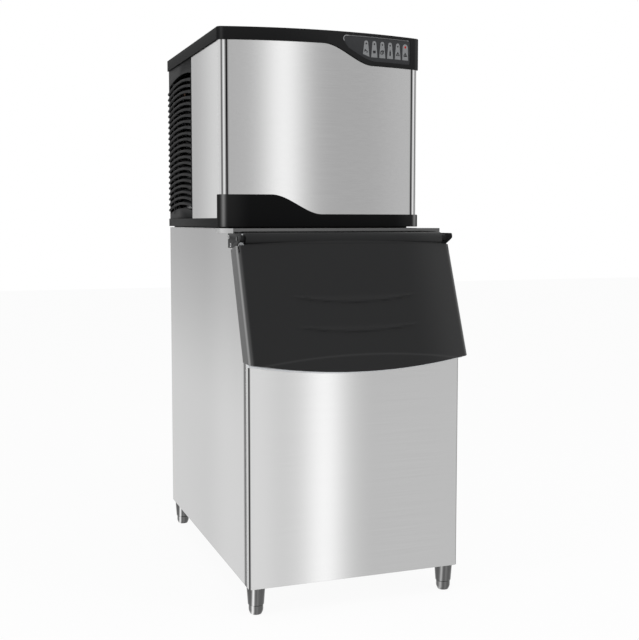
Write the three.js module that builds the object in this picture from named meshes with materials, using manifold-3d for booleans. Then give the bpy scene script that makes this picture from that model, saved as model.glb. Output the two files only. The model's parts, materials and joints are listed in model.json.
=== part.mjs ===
// Nugget ice maker: an ice-making head standing on an insulated storage bin with a slanted door.
// Millimetres, +X to the right, +Y to the back, +Z up, floor at z = 0.
import * as THREE from 'three';
import { mergeVertices } from 'three/addons/utils/BufferGeometryUtils.js';
import Module from 'manifold-3d';

const wasm = await Module();
wasm.setup();

// Driving dimensions of the whole machine
const unitWidth = 560;
const binDepth = 870;
const legHeight = 70;
const deckTop = 940;
const headDepth = 609;
const headHeight = 511;
const frontBow = 38;

// Sheet, fits and overruns
const sheet = 1.2;
const gap = 0.3;
const over = 5;
const bendRadius = 9;
const seamSetback = 18;

// Storage bin
const sillHeight = 618;
const deckSetback = 123;
const deckSheet = 1.5;
const deckLip = 12;
const deckLipRun = 162;
const foamWall = 44;
const linerWall = 3;
const mouthSillRise = 28;
const mouthHeaderDrop = 47;
const headerDepth = 42;
const basePlate = 2;
const gasketThickness = 3;
const gasketWidth = 22;
const binDrainRadius = 11;
const binDrainDrop = 24;
const binDrainReach = 24;
const binDrainInset = 90;

// Door
const doorOverhang = 8;
const doorWall = 3;
const doorSideDepth = 53;
const doorProud = 35;
const doorCorner = 16;
const doorCrown = 9;
const doorEdgeRise = 16;
const lipDroop = 27;
const lipRise = 36;
const beadRadius = 15;
const beadInset = 15;
const pivotForward = 38;
const pivotDrop = 25;
const doorShoulder = 18;
const shoulderTilt = Math.PI / 24;
const pinRadius = 4.5;
const pinReach = 26;
const bracketPlate = 2.5;
const bracketHeight = 36;
const bracketRun = 118;
const bracketNose = 34;
const bracketNoseRun = 62;
const bracketNoseTall = 12;
const bracketCorner = 6;
const ridgeHeight = 3;
const upperRidgeShare = 0.475;
const lowerRidgeShare = 0.72;
const ridgeReach = 178;
const ridgeSag = 20;
const ridgeTall = 17;

// Legs and feet
const legInsetX = 25;
const legInsetY = 30;
const legTopRadius = 23;
const legLowRadius = 20;
const footRadius = 18;
const footHeight = 24;
const footStem = 7;
const footStemReach = 40;

// Head casing
const rimHeight = 23;
const rimOverhang = 3;
const panFloor = 3;
const capOverhang = 4;
const capPlate = 4;
const capBand = 33;
const capBrow = 84;
const browStart = -7;
const browEnd = 137;
const browWrap = 95;
const capEdgeRadius = 3;
const apronOverhang = 5;
const apronTall = 84;
const apronLow = 33;
const apronStart = -148;
const apronEnd = -12;
const grilleDepth = 306;

// Louvre grille
const grilleWall = 3;
const louvrePitch = 17;
const louvreBand = 28;
const louvreTop = 74;
const louvreThickness = 3;
const louvreTaperShare = 0.7;
const louvreReach = 15;
const louvreDrop = 6;
const louvreArch = 17;
const louvreProud = 3.5;
const louvrePost = 9;
const dividerSetback = 68;

// Control fascia
const fasciaLeft = 46;
const fasciaRight = 253;
const fasciaTopInset = 8;
const fasciaBorder = 11;
const fasciaShift = 8;
const fasciaCorner = 4;
const fasciaNose = 10;
const fasciaSink = 1.2;
const tabCount = 6;
const tabFirst = 114;
const tabPitch = 24.6;
const tabBase = 19.5;
const tabCrest = 12.7;
const tabHeight = 43;
const tabRaise = 0.6;
const tabRecess = 11;
const lampRadius = 2.2;
const lampDrop = 8;

// Ice making
const towerFromTank = 65;
const towerSetback = 194;
const gearboxWidth = 116;
const gearboxHeight = 64;
const motorRadius = 44;
const motorLength = 115;
const barrelBore = 38;
const barrelRadius = 52;
const barrelHeight = 260;
const barrelFlange = 60;
const flangeThickness = 8;
const augerShaft = 12;
const augerClearance = 1.5;
const augerPitch = 42;
const flightThickness = 5;
const flightTipShare = 0.6;
const augerSides = 12;
const augerSeat = 20;
const extruderHeight = 62;
const extruderHoles = 3;
const spoutWidth = 60;
const spoutHeight = 36;
const chuteFromTower = 150;
const chuteHalfX = 55;
const chuteHalfY = 55;
const chuteWall = 2;
const chuteDrop = 18;
const flapPlate = 2;

// Water side
const tankWidth = 88;
const tankLength = 120;
const tankHeight = 95;
const tankWall = 2.5;
const tankStandoff = 3;
const tankSetback = 359;
const shelfRise = 184;
const shelfFoot = 26;
const floatLength = 52;
const floatWidth = 40;
const floatHeight = 26;
const valveBlock = 26;

// Refrigeration
const coilThickness = 44;
const coilWidth = 270;
const coilHeight = 380;
const finCount = 20;
const finDepth = 14;
const coilStandoff = 22;
const shroudPlate = 3;
const shroudCollar = 24;
const shroudStandoff = 6;
const fanRadius = 108;
const fanClearance = 6;
const fanBlades = 5;
const fanHub = 28;
const fanPitch = 0.55;
const fanMotorRadius = 40;
const fanMotorLength = 78;
const canRadius = 80;
const canHeight = 225;
const canFootHeight = 16;
const canStandoff = 12;
const canSetback = 145;
const pipeRadius = 5;
const drierRadius = 20;
const drierLength = 110;

// Control box and rear fittings
const boxWidth = 76;
const boxDepth = 92;
const boxHeight = 340;
const fittingReach = 22;
const fittingRadius = 11;
const fittingFlange = 19;
const fittingPlate = 4;
const inletInset = 80;
const inletRise = 157;
const drainInset = 160;
const drainRise = 42;
const glandInset = 75;

// Places worked out from the driving dimensions
const half = unitWidth / 2;
const binRear = binDepth / 2;
const binFront = -binDepth / 2;
const headBase = deckTop + gasketThickness;
const headTop = headBase + headHeight;
const headFront = binRear - headDepth;
const deckFront = binFront + deckSetback;
const deckUnder = deckTop - deckSheet;
const lipBottom = deckTop - deckLip;
const slope = Math.atan2(deckSetback, lipBottom - sillHeight);
const panTop = headBase + panFloor;
const mouthSill = sillHeight + mouthSillRise;
const mouthHeader = deckTop - mouthHeaderDrop;
const doorLength = (lipBottom - sillHeight) / Math.cos(slope) - doorEdgeRise;
const towerY = headFront + towerSetback;
const tankY = headFront + tankSetback;
const canY = binRear - canSetback;
const tankX = half - louvreReach - grilleWall - tankStandoff - tankWidth / 2;
const towerX = tankX - towerFromTank;
const chuteX = towerX - chuteFromTower;
const skin = sheet + gap;

const steel = new THREE.MeshStandardMaterial({ color: 0xbfc1c3, roughness: 0.32, metalness: 0.9 });
const darkPlastic = new THREE.MeshStandardMaterial({ color: 0x2b2c2e, roughness: 0.5, metalness: 0 });
const doorPlastic = new THREE.MeshStandardMaterial({ color: 0x333436, roughness: 0.6, metalness: 0 });
const fasciaGrey = new THREE.MeshStandardMaterial({ color: 0x4a4b4d, roughness: 0.45, metalness: 0 });
const linerWhite = new THREE.MeshStandardMaterial({ color: 0xe6e8ea, roughness: 0.4, metalness: 0 });
const foamCream = new THREE.MeshStandardMaterial({ color: 0xe9dcb4, roughness: 0.95, metalness: 0 });
const gasketRubber = new THREE.MeshStandardMaterial({ color: 0x1f1f20, roughness: 0.85, metalness: 0 });
const castMetal = new THREE.MeshStandardMaterial({ color: 0x6b6e72, roughness: 0.55, metalness: 0.7 });
const blackPaint = new THREE.MeshStandardMaterial({ color: 0x18191b, roughness: 0.45, metalness: 0.3 });
const copper = new THREE.MeshStandardMaterial({ color: 0xb87333, roughness: 0.35, metalness: 0.9 });
const brass = new THREE.MeshStandardMaterial({ color: 0xc9a24b, roughness: 0.35, metalness: 0.9 });
const finMetal = new THREE.MeshStandardMaterial({ color: 0xaeb4b8, roughness: 0.4, metalness: 0.8 });

const machine = new THREE.Group();

// A closed three.js geometry as a solid that can be joined and cut
function solidOf(geometry) {
  geometry.deleteAttribute('normal');
  geometry.deleteAttribute('uv');
  const merged = mergeVertices(geometry, 1e-4);
  return new wasm.Manifold(new wasm.Mesh({
    numProp: 3,
    vertProperties: new Float32Array(merged.attributes.position.array),
    triVerts: new Uint32Array(merged.index.array),
  }));
}

// A solid back as a named mesh of the scene
function addPiece(name, solid, material, parent = machine) {
  const mesh = solid.getMesh();
  const geometry = new THREE.BufferGeometry();
  geometry.setAttribute('position', new THREE.BufferAttribute(new Float32Array(mesh.vertProperties), 3));
  geometry.setIndex(new THREE.BufferAttribute(new Uint32Array(mesh.triVerts), 1));
  geometry.computeVertexNormals();
  const piece = new THREE.Mesh(geometry, material);
  piece.name = name;
  parent.add(piece);
  return piece;
}

const joined = (solids) => solids.reduce((sum, next) => sum.add(next));
const without = (solid, cutters) => cutters.reduce((rest, next) => rest.subtract(next), solid);

// Points on an arc, both ends included
function arc(x, y, radius, from, to, steps) {
  return Array.from({ length: steps + 1 }, (_, i) => {
    const angle = from + ((to - from) * i) / steps;
    return [x + radius * Math.cos(angle), y + radius * Math.sin(angle)];
  });
}

function extruded(points, depth, matrix) {
  const shape = new THREE.Shape(points.map(([a, b]) => new THREE.Vector2(a, b)));
  const geometry = new THREE.ExtrudeGeometry(shape, { depth, bevelEnabled: false });
  geometry.applyMatrix4(matrix);
  return solidOf(geometry);
}

// A plan outline (x, y) raised from one height to another
function upright(points, low, high) {
  return extruded(points, high - low, new THREE.Matrix4().makeTranslation(0, 0, low));
}

// A side outline (y, z) drawn across the machine
function across(points, left, right) {
  const turn = new THREE.Matrix4().set(0, 0, 1, left, 1, 0, 0, 0, 0, 1, 0, 0, 0, 0, 0, 1);
  return extruded(points, right - left, turn);
}

// A front outline (x, z) drawn from front to back
function frontal(points, front, back) {
  const turn = new THREE.Matrix4().set(1, 0, 0, 0, 0, 0, -1, back, 0, 1, 0, 0, 0, 0, 0, 1);
  return extruded(points, back - front, turn);
}

function block(left, right, front, back, low, high) {
  const geometry = new THREE.BoxGeometry(right - left, back - front, high - low);
  geometry.translate((left + right) / 2, (front + back) / 2, (low + high) / 2);
  return solidOf(geometry);
}

// A round bar or disc from one end along an axis
function bar(axis, radius, [x, y, z], length, sides = 12) {
  const geometry = new THREE.CylinderGeometry(radius, radius, length, sides);
  geometry.translate(0, length / 2, 0);
  if (axis === 'x') geometry.rotateZ(-Math.PI / 2);
  if (axis === 'z') geometry.rotateX(Math.PI / 2);
  geometry.translate(x, y, z);
  return solidOf(geometry);
}

// A turned piece: its profile of (radius, height) points starts and ends on the axis
function turned(profile, [x, y, z], sides = 24) {
  const geometry = new THREE.LatheGeometry(profile.map(([r, h]) => new THREE.Vector2(r, h)), sides);
  geometry.rotateX(Math.PI / 2);
  geometry.translate(x, y, z);
  return solidOf(geometry);
}

// A tube that follows a smooth line through its points
function pipe(points, radius, steps = 16) {
  const path = new THREE.CatmullRomCurve3(points.map((p) => new THREE.Vector3(...p)), false, 'centripetal');
  const rim = arc(0, 0, radius, 0, 2 * Math.PI, 6).slice(1);
  const section = new THREE.Shape(rim.map(([a, b]) => new THREE.Vector2(a, b)));
  return solidOf(new THREE.ExtrudeGeometry(section, { steps, extrudePath: path, bevelEnabled: false }));
}

// A closed skin through rings of equally many points, stacked along z or y, anticlockwise seen from the far end
function skinned(rings, axis = 'z') {
  const count = rings[0].length;
  const faces = [];
  for (let level = 0; level + 1 < rings.length; level++) {
    for (let i = 0; i < count; i++) {
      const a = level * count + i;
      const b = level * count + ((i + 1) % count);
      faces.push(a, b, b + count, a, b + count, a + count);
    }
  }
  const flat = rings[0].map(([x, y, z]) => (axis === 'z' ? new THREE.Vector2(x, y) : new THREE.Vector2(z, x)));
  const last = (rings.length - 1) * count;
  THREE.ShapeUtils.triangulateShape(flat, []).forEach(([a, b, c]) => {
    faces.push(c, b, a, last + a, last + b, last + c);
  });
  const geometry = new THREE.BufferGeometry();
  geometry.setAttribute('position', new THREE.Float32BufferAttribute(rings.flat(2), 3));
  geometry.setIndex(faces);
  return solidOf(geometry);
}

// The same solid on the other side of the machine
function mirrored(solid) {
  const mesh = solid.getMesh();
  const positions = Float32Array.from(mesh.vertProperties, (value, i) => (i % 3 === 0 ? -value : value));
  const faces = Uint32Array.from(mesh.triVerts);
  for (let i = 0; i < faces.length; i += 3) [faces[i], faces[i + 1]] = [faces[i + 1], faces[i]];
  return new wasm.Manifold(new wasm.Mesh({ numProp: 3, vertProperties: positions, triVerts: faces }));
}

// A height that eases from one level to another between two places
function eased(value, from, to, first, second) {
  const t = Math.min(1, Math.max(0, (value - from) / (to - from)));
  return first + (second - first) * t * t * (3 - 2 * t);
}

const spread = (from, to, steps) =>
  Array.from({ length: steps + 1 }, (_, i) => from + ((to - from) * i) / steps);

// Plan outline with a straight back and sides, rounded front corners and a flat or bowed front
function frontedOutline({ halfWidth, front, back, bow, corner }, grow) {
  const width = halfWidth + grow;
  const small = corner + grow;
  const cornerX = -width + small;
  const bowRadius = bow ? (halfWidth ** 2 + bow ** 2) / (2 * bow) : 0;
  const centreY = front - bow + bowRadius;
  const big = bowRadius + grow;
  const cornerY = bow ? centreY - Math.sqrt((big - small) ** 2 - cornerX ** 2) : front - grow + small;
  const start = bow ? Math.atan2(cornerY - centreY, cornerX) + 2 * Math.PI : 1.5 * Math.PI;
  const middle = bow ? arc(0, centreY, big, start, 3 * Math.PI - start, 10).slice(1, -1) : [];
  return [
    [-width, back + grow],
    ...arc(cornerX, cornerY, small, Math.PI, start, 3),
    ...middle,
    ...arc(-cornerX, cornerY, small, 3 * Math.PI - start, 2 * Math.PI, 3),
    [width, back + grow],
  ];
}

const binPlan = { halfWidth: half, front: binFront, back: binRear, bow: 0, corner: bendRadius };
const headPlan = { halfWidth: half, front: headFront, back: binRear, bow: frontBow, corner: bendRadius };
const binSeam = binFront + bendRadius + seamSetback;
const headSeam = headFront + bendRadius;

// A wall that follows a plan outline between two offsets
function planWall(plan, outer, inner, low, high) {
  return upright(frontedOutline(plan, outer), low, high)
    .subtract(upright(frontedOutline(plan, inner), low - over, high + over));
}

// The y of the slanted bin front at a height, set back square to the slope
const slantY = (z, setback = 0) => deckFront - (lipBottom - z) * Math.tan(slope) + setback / Math.cos(slope);

// Storage bin: sheet steel outside, poured foam, and a moulded liner whose flange frames the door mouth
const slantCut = (setback) => across([
  [binFront - over * 4, sillHeight - over * 4],
  [slantY(sillHeight - over * 4, setback), sillHeight - over * 4],
  [slantY(deckTop + over, setback), deckTop + over],
  [binFront - over * 4, deckTop + over],
], -half - over, half + over);

const sideOutline = [
  [binRear, legHeight],
  [binRear, deckUnder - gap],
  [deckFront, deckUnder - gap],
  [deckFront, lipBottom],
  [binSeam, sillHeight + (binSeam - binFront) / Math.tan(slope)],
  [binSeam, legHeight],
];
addPiece('bin_left_side', across(sideOutline, -half, -half + sheet), steel);
addPiece('bin_right_side', across(sideOutline, half - sheet, half), steel);

const frontSheet = planWall(binPlan, 0, -sheet, legHeight, deckTop)
  .subtract(block(-half - over, half + over, binSeam - gap, binRear + over, 0, deckTop + over))
  .subtract(slantCut(0));
addPiece('bin_front_panel', frontSheet, steel);

const drainHeight = legHeight + binDrainDrop;
const drainBack = binRear - binDrainInset;
const fittingHole = (x, z, radius = fittingRadius + gap) =>
  bar('y', radius, [x, binRear - sheet - over, z], sheet + over * 2);
const rearSheet = block(-half + skin, half - skin, binRear - sheet, binRear, legHeight, deckUnder - gap)
  .subtract(fittingHole(0, drainHeight, binDrainRadius + gap));
addPiece('bin_rear_panel', rearSheet, steel);

const underPlate = upright(frontedOutline(binPlan, -skin), legHeight, legHeight + basePlate)
  .subtract(block(-half, half, binRear - skin, binRear + over, 0, deckTop));
addPiece('bin_base_plate', underPlate, steel);

const flangeSetback = gap;
const foamSetback = flangeSetback + linerWall + gap;
const foamFloor = legHeight + basePlate + gap;
const cavityFront = binFront + foamWall;
const cavityRear = binRear - foamWall;
const cavityFloor = foamFloor + foamWall;
const cavityHalf = half - foamWall;
const headerBack = deckFront + headerDepth;

// The storage space, open to the deck above and through the slanted mouth; it shrinks to line the foam
function storage(inset, beyond) {
  const outFront = binFront - over * 4;
  return across([
    [cavityRear - inset, cavityFloor + inset],
    [cavityRear - inset, deckUnder + beyond],
    [headerBack + inset, deckUnder + beyond],
    [headerBack + inset, mouthHeader - inset],
    [outFront, mouthHeader - inset],
    [outFront, mouthSill + inset],
    [cavityFront + inset, mouthSill + inset],
    [cavityFront + inset, cavityFloor + inset],
  ], -cavityHalf + inset, cavityHalf - inset);
}

// The drain runs back through the foam from a hole in the bin floor
const drainRun = (grow) => bar('y', binDrainRadius + grow, [0, drainBack - binDrainRadius, drainHeight],
  binRear + binDrainReach - drainBack + binDrainRadius)
  .add(bar('z', binDrainRadius + grow, [0, drainBack, drainHeight - binDrainRadius],
    cavityFloor + gap - drainHeight + binDrainRadius));

const foam = without(upright(frontedOutline(binPlan, -skin), foamFloor, deckUnder - gap), [
  block(-half, half, binRear - skin, binRear + over, 0, deckTop),
  slantCut(foamSetback),
  block(-half - over, half + over, binFront - over, deckFront, lipBottom, deckTop),
  storage(0, over),
  drainRun(gap),
]);
addPiece('bin_insulation', foam, foamCream);

const flangeOuter = half - skin;
const mouthFlange = across([
  [slantY(mouthSill - foamWall / 2, flangeSetback), mouthSill - foamWall / 2],
  [slantY(mouthSill - foamWall / 2, flangeSetback + linerWall), mouthSill - foamWall / 2],
  [slantY(lipBottom - gap, flangeSetback + linerWall), lipBottom - gap],
  [slantY(lipBottom - gap, flangeSetback), lipBottom - gap],
], -flangeOuter, flangeOuter)
  .intersect(upright(frontedOutline(binPlan, -skin), legHeight, deckTop));
const linerShell = storage(gap, -gap)
  .subtract(slantCut(flangeSetback + linerWall / 2))
  .add(mouthFlange);
addPiece('bin_liner', without(linerShell, [
  storage(gap + linerWall, over),
  bar('z', binDrainRadius - linerWall, [0, drainBack, cavityFloor - over], foamWall),
]), linerWhite);

const drainPipe = drainRun(0)
  .intersect(block(-half, half, drainBack - over * 4, binRear + over * 9, 0, cavityFloor));
const drainBore = drainRun(-linerWall).add(
  bar('y', binDrainRadius - linerWall, [0, binRear, drainHeight], binDrainReach + over));
const drainNut = bar('y', fittingFlange, [0, binRear + gap, drainHeight], fittingPlate, 6);
addPiece('bin_drain_fitting', drainPipe.add(drainNut).subtract(drainBore), brass);

// Deck: the top plate, with a down-turned lip round the part that the head leaves bare
const chuteY = towerY;
const dropHole = (grow, low, high) => block(chuteX - chuteHalfX - grow, chuteX + chuteHalfX + grow,
  chuteY - chuteHalfY - grow, chuteY + chuteHalfY + grow, low, high);
const lipFront = deckFront - gap - deckSheet;
const lipSide = half + gap;
const lipBack = deckFront + deckLipRun;
const lipOuter = block(-lipSide - deckSheet, lipSide + deckSheet, lipFront, lipBack, lipBottom, deckTop);
const lipInner = block(-lipSide, lipSide, deckFront - gap, lipBack + over, lipBottom - over, deckUnder);
const deckPlate = block(-half, half, deckFront, binRear, deckUnder, deckTop);
addPiece('bin_deck', deckPlate
  .add(lipOuter.subtract(lipInner))
  .subtract(dropHole(over, deckUnder - over, headBase)), steel);

const gasketPlan = { halfWidth: half - gasketWidth / 2, front: headFront + gasketWidth,
  back: binRear - gasketWidth / 2, bow: frontBow, corner: bendRadius + gasketWidth };
addPiece('deck_gasket', planWall(gasketPlan, 0, -gasketWidth, deckTop, headBase), gasketRubber);

// Door: hung from the pins, modelled upright in its own group and leaned to the slope.
// Its local -Y is the face's outward normal and its pivot is the group's origin.
const pivotY = deckFront - pivotForward;
const pivotZ = deckTop - pivotDrop;
const doorGroup = new THREE.Group();
doorGroup.position.set(0, pivotY, pivotZ);
doorGroup.rotation.x = -slope;
machine.add(doorGroup);

// The bin's slanted frame and the door's face, as distances behind the pivot
const frameBack = pivotForward * Math.cos(slope) - (lipBottom - pivotZ) * Math.sin(slope);
const doorFace = frameBack - doorProud;
const doorHalf = half + doorOverhang;
const beadHalf = doorHalf - doorOverhang - beadInset;
const doorPlan = {
  halfWidth: doorHalf, front: doorFace, back: doorFace + doorSideDepth, bow: doorCrown, corner: doorCorner,
};
const neckPlan = {
  halfWidth: beadHalf, front: doorFace, back: beadRadius / 2, bow: doorCrown, corner: doorWall,
};
const linerGap = 2;
const doorBack = frameBack - linerGap;

// The drooping lower edge and the near-vertical pull lip above it
const bottomEdge = (rise) => {
  const radius = (doorHalf ** 2 + lipDroop ** 2) / (2 * lipDroop);
  const low = -doorLength - lipDroop + rise;
  const angle = Math.asin(doorHalf / radius);
  return [
    ...arc(0, low + radius, radius, 1.5 * Math.PI - angle, 1.5 * Math.PI + angle, 12),
    [doorHalf + over, -doorLength + rise],
    [doorHalf + over, -doorLength - lipDroop - over * 2],
    [-doorHalf - over, -doorLength - lipDroop - over * 2],
    [-doorHalf - over, -doorLength + rise],
  ];
};
const belowEdge = (rise) =>
  frontal(bottomEdge(rise), doorFace - beadRadius * 2, doorFace + doorSideDepth + over);
const lipTop = -doorLength - lipDroop + lipRise;
// The pull lip is a plane that leans back to the vertical, so the crowned face meets it in an arch
function lipCut(setback) {
  const crest = doorFace - doorCrown;
  const fall = lipRise + over * 4;
  const back = setback / Math.cos(slope);
  return across([
    [crest - beadRadius * 3, lipTop - fall],
    [crest + back + fall * Math.tan(slope), lipTop - fall],
    [crest + back - over * 4 * Math.tan(slope), lipTop + over * 4],
    [crest - beadRadius * 3, lipTop + over * 4],
  ], -doorHalf - over, doorHalf + over);
}

// Two shallow smile-shaped ridges across the face, proud at their lower edge
function ridge(drop, reach, sag, tall) {
  const lower = arcThrough(reach, -drop, sag, 10);
  const upper = arcThrough(reach, -drop, sag - tall, 10).reverse();
  const outline = [...lower, ...upper.slice(1, -1)];
  const front = doorFace - doorCrown;
  const solid = frontal(outline, front - over, front + doorCrown);
  const shelf = across([
    [front + doorCrown, -drop + tall],
    [front + doorCrown, -drop - sag - over],
    [front - ridgeHeight, -drop - sag - over],
    [front - ridgeHeight, -drop - sag],
    [front + ridgeHeight / 2, -drop - sag + tall + over],
  ], -reach - over, reach + over);
  return solid.intersect(shelf);
}
function arcThrough(reach, height, sag, steps) {
  const radius = (reach ** 2 + sag ** 2) / (2 * sag);
  const angle = Math.asin(reach / radius);
  return arc(0, height - sag + radius, radius, 1.5 * Math.PI - angle, 1.5 * Math.PI + angle, steps);
}

const shellLow = -doorLength - lipDroop - over;
// The shoulders fall a little towards the back, under the hinge brackets, with a slot for each bracket's nose
const shoulderAt = (y) => -doorShoulder + (y - doorFace) * Math.tan(shoulderTilt);
const shoulderCut = across([
  [doorPlan.front - beadRadius, shoulderAt(doorPlan.front - beadRadius)],
  [doorPlan.back + over, shoulderAt(doorPlan.back + over)],
  [doorPlan.back + over, beadRadius * 4],
  [doorPlan.front - beadRadius, beadRadius * 4],
], -doorHalf - over, doorHalf + over);
const noseReach = bracketCorner
  + Math.hypot(bracketNose - bracketCorner, lipBottom - gap - pivotZ - bracketCorner);
const noseRoom = (from, width) => bar('x', noseReach + doorWall, [from, 0, 0], width, 24);
const noseSlot = noseRoom(half, bracketPlate + gap * 2);
// The side walls end level below too, in line with the corners of the face
const wallEndCut = across([
  [doorFace, -doorLength],
  [doorFace, shellLow - over],
  [doorPlan.back + over, shellLow - over],
  [doorPlan.back + over, -doorLength + (doorPlan.back + over - doorFace) * Math.tan(slope)],
], half + doorOverhang / 2, doorHalf + over);
const doorBlock = joined([
  upright(frontedOutline(doorPlan, 0), shellLow, 0).subtract(shoulderCut),
  upright(frontedOutline(neckPlan, 0), -doorShoulder - doorWall * 3, 0),
  bar('x', beadRadius, [-beadHalf, 0, 0], beadHalf * 2, 20),
]);
const ridges = [
  ridge(doorLength * upperRidgeShare, ridgeReach, ridgeSag, ridgeTall),
  ridge(doorLength * lowerRidgeShare, ridgeReach * 0.97, ridgeSag * 0.85, ridgeTall * 0.9),
];
const doorSkin = without(joined([doorBlock, ...ridges]), [belowEdge(0), lipCut(0)]);
const doorHollow = without(upright(frontedOutline({ ...doorPlan, back: doorPlan.back + over * 2 }, -doorWall),
  shellLow, -doorShoulder - doorWall), [belowEdge(doorWall), lipCut(doorWall)]);
const pinHole = (side) =>
  bar('x', pinRadius + gap, [side > 0 ? beadHalf - pinReach : -beadHalf - over, 0, 0], pinReach + over);
addPiece('door_outer_shell', without(doorSkin, [
  doorHollow,
  block(-half - doorOverhang / 2, half + doorOverhang / 2,
    doorBack, doorPlan.back + over, shellLow, beadRadius),
  pinHole(-1),
  pinHole(1),
  noseSlot,
  mirrored(noseSlot),
  wallEndCut,
  mirrored(wallEndCut),
]), doorPlastic, doorGroup);

// Inner liner: a shallow tray that closes the shell and faces the bin
const trayDepth = 14;
const trayInset = 40;
const trayPlan = { ...doorPlan, back: doorBack + doorWall };
const trayNotch = noseRoom(half - gap, doorOverhang);
const trayOuter = upright(frontedOutline(trayPlan, -doorWall - gap), shellLow, -doorShoulder - doorWall - gap)
  .subtract(trayNotch)
  .subtract(mirrored(trayNotch))
  .subtract(belowEdge(doorWall + gap))
  .subtract(lipCut(doorWall + gap * 2))
  .subtract(block(-doorHalf, doorHalf, doorFace - over * 4, doorBack - trayDepth, shellLow, 0));
const trayHollow = block(-doorHalf + trayInset, doorHalf - trayInset, doorFace - over, doorBack - doorWall,
  -doorLength + trayInset, -doorShoulder - trayInset);
addPiece('door_inner_liner', trayOuter.subtract(trayHollow)
  .subtract(block(-doorHalf, doorHalf, doorBack, doorBack + over * 4, shellLow, 0)), linerWhite, doorGroup);

// Hinge brackets screwed to the bin sides, each with a boss that carries its pin
function bracket() {
  const front = pivotY - bracketNose;
  const rear = front + bracketRun;
  const top = lipBottom - gap;
  const low = top - bracketHeight;
  const noseRise = bracketHeight - bracketNoseTall;
  const outline = [
    [rear, low],
    [rear, top],
    ...arc(front + bracketCorner, top - bracketCorner, bracketCorner, 0.5 * Math.PI, Math.PI, 4),
    ...spread(1, 0, 6).map((share) => [front + bracketNoseRun * (1 - share), low + noseRise * share ** 1.4]),
  ];
  const screws = [
    [rear - bracketHeight * 0.25, top - bracketHeight * 0.25],
    [rear - bracketHeight * 0.75, low + bracketHeight * 0.2],
  ];
  const inner = half + gap;
  const boss = bar('x', pinRadius * 2, [beadHalf + gap, pivotY, pivotZ], inner + bracketPlate - beadHalf - gap);
  return joined([
    across(outline.reverse(), inner, inner + bracketPlate),
    boss,
    ...screws.map(([y, z]) => bar('x', pinRadius * 0.8, [inner + bracketPlate - gap, y, z], gap * 5, 8)),
  ]);
}
const rightBracket = bracket().subtract(bar('x', pinRadius + gap, [beadHalf - over, pivotY, pivotZ], half));
addPiece('hinge_bracket_right', rightBracket, darkPlastic);
addPiece('hinge_bracket_left', mirrored(rightBracket), darkPlastic);
const pinFrom = beadHalf - pinReach + gap;
const pinTo = half + gap * 3 + bracketPlate;
const rightPin = bar('x', pinRadius, [pinFrom, pivotY, pivotZ], pinTo - pinFrom)
  .add(bar('x', pinRadius + gap * 4, [pinTo - gap, pivotY, pivotZ], gap * 4, 12));
addPiece('hinge_pin_right', rightPin, steel);
addPiece('hinge_pin_left', mirrored(rightPin), steel);

// Legs screwed under the base plate, each with a foot that winds in and out
const legTop = legHeight - gap;
const legSleeve = turned([
  [0, legTop - over],
  [footStem + gap, legTop - over],
  [footStem + gap, footHeight + gap],
  [legLowRadius - gap * 4, footHeight + gap],
  [legLowRadius, footHeight + gap * 6],
  [legTopRadius, legTop - gap * 6],
  [legTopRadius - gap * 2, legTop],
  [0, legTop],
], [0, 0, 0], 12);
const footBody = turned([
  [0, 0],
  [footRadius * 0.72, 0],
  [footRadius * 0.9, footHeight * 0.22],
  [footRadius, footHeight * 0.42],
  [footRadius, footHeight - gap],
  [footStem, footHeight],
  [footStem, footHeight + footStemReach - gap * 5],
  [footStem - gap * 5, footHeight + footStemReach],
  [0, footHeight + footStemReach],
], [0, 0, 0], 12);
const corners = { front_left: [-1, -1], front_right: [1, -1], rear_left: [-1, 1], rear_right: [1, 1] };
for (const [corner, [sideX, sideY]] of Object.entries(corners)) {
  const x = sideX * (half - legInsetX);
  const y = sideY * (binDepth / 2 - legInsetY);
  addPiece(`leg_${corner}`, legSleeve, steel).position.set(x, y, 0);
  addPiece(`foot_${corner}`, footBody, steel).position.set(x, y, 0);
}

// Head: base pan whose floor carries every panel and machine, with a rim up its sides and back
const rimFront = headSeam - over + gap;
const rimTop = headBase + rimHeight;
const panPlate = upright(frontedOutline(headPlan, 0), headBase, panTop);
const casingRear = binRear - rimOverhang / 2 - gap;
const rimPlan = { ...headPlan, back: binRear - rimOverhang };
const rimWall = upright(frontedOutline(rimPlan, rimOverhang), headBase, rimTop)
  .subtract(upright(frontedOutline({ ...headPlan, back: casingRear }, gap), panTop, rimTop + over))
  .subtract(block(-half - over, half + over,
    headFront - frontBow - over, rimFront, headBase - over, rimTop + over));
const rearFittings = [[half - inletInset, headBase + inletRise], [half - drainInset, headBase + drainRise],
  [glandInset - half, headBase + drainRise]];
const casingTop = headTop - capPlate - gap;
addPiece('head_base_pan', without(panPlate.add(rimWall), [
  dropHole(gap, headBase - over, panTop + over),
]), darkPlastic);

// Side panels in front, louvred grilles behind them, and a flat rear sheet between
const grilleFront = binRear - grilleDepth;
const panelLow = panTop + gap;
const leftPanel = block(-half, -half + sheet, headSeam, grilleFront - gap, panelLow, casingTop);
addPiece('head_left_panel', leftPanel, steel);
addPiece('head_right_panel', mirrored(leftPanel), steel);
const frontPanel = planWall(headPlan, 0, -sheet, panelLow, casingTop)
  .subtract(block(-half - over, half + over,
    headSeam - gap, binRear + over, panelLow - over, casingTop + over));
addPiece('head_front_panel', frontPanel, steel);
const innerRear = casingRear - sheet;
addPiece('head_rear_panel', without(
  block(-half + grilleWall + gap, half - grilleWall - gap, innerRear, casingRear, panelLow, casingTop),
  rearFittings.map(([x, z]) => bar('y', fittingRadius + gap, [x, innerRear - over, z], sheet + over * 2)),
), steel);

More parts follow.
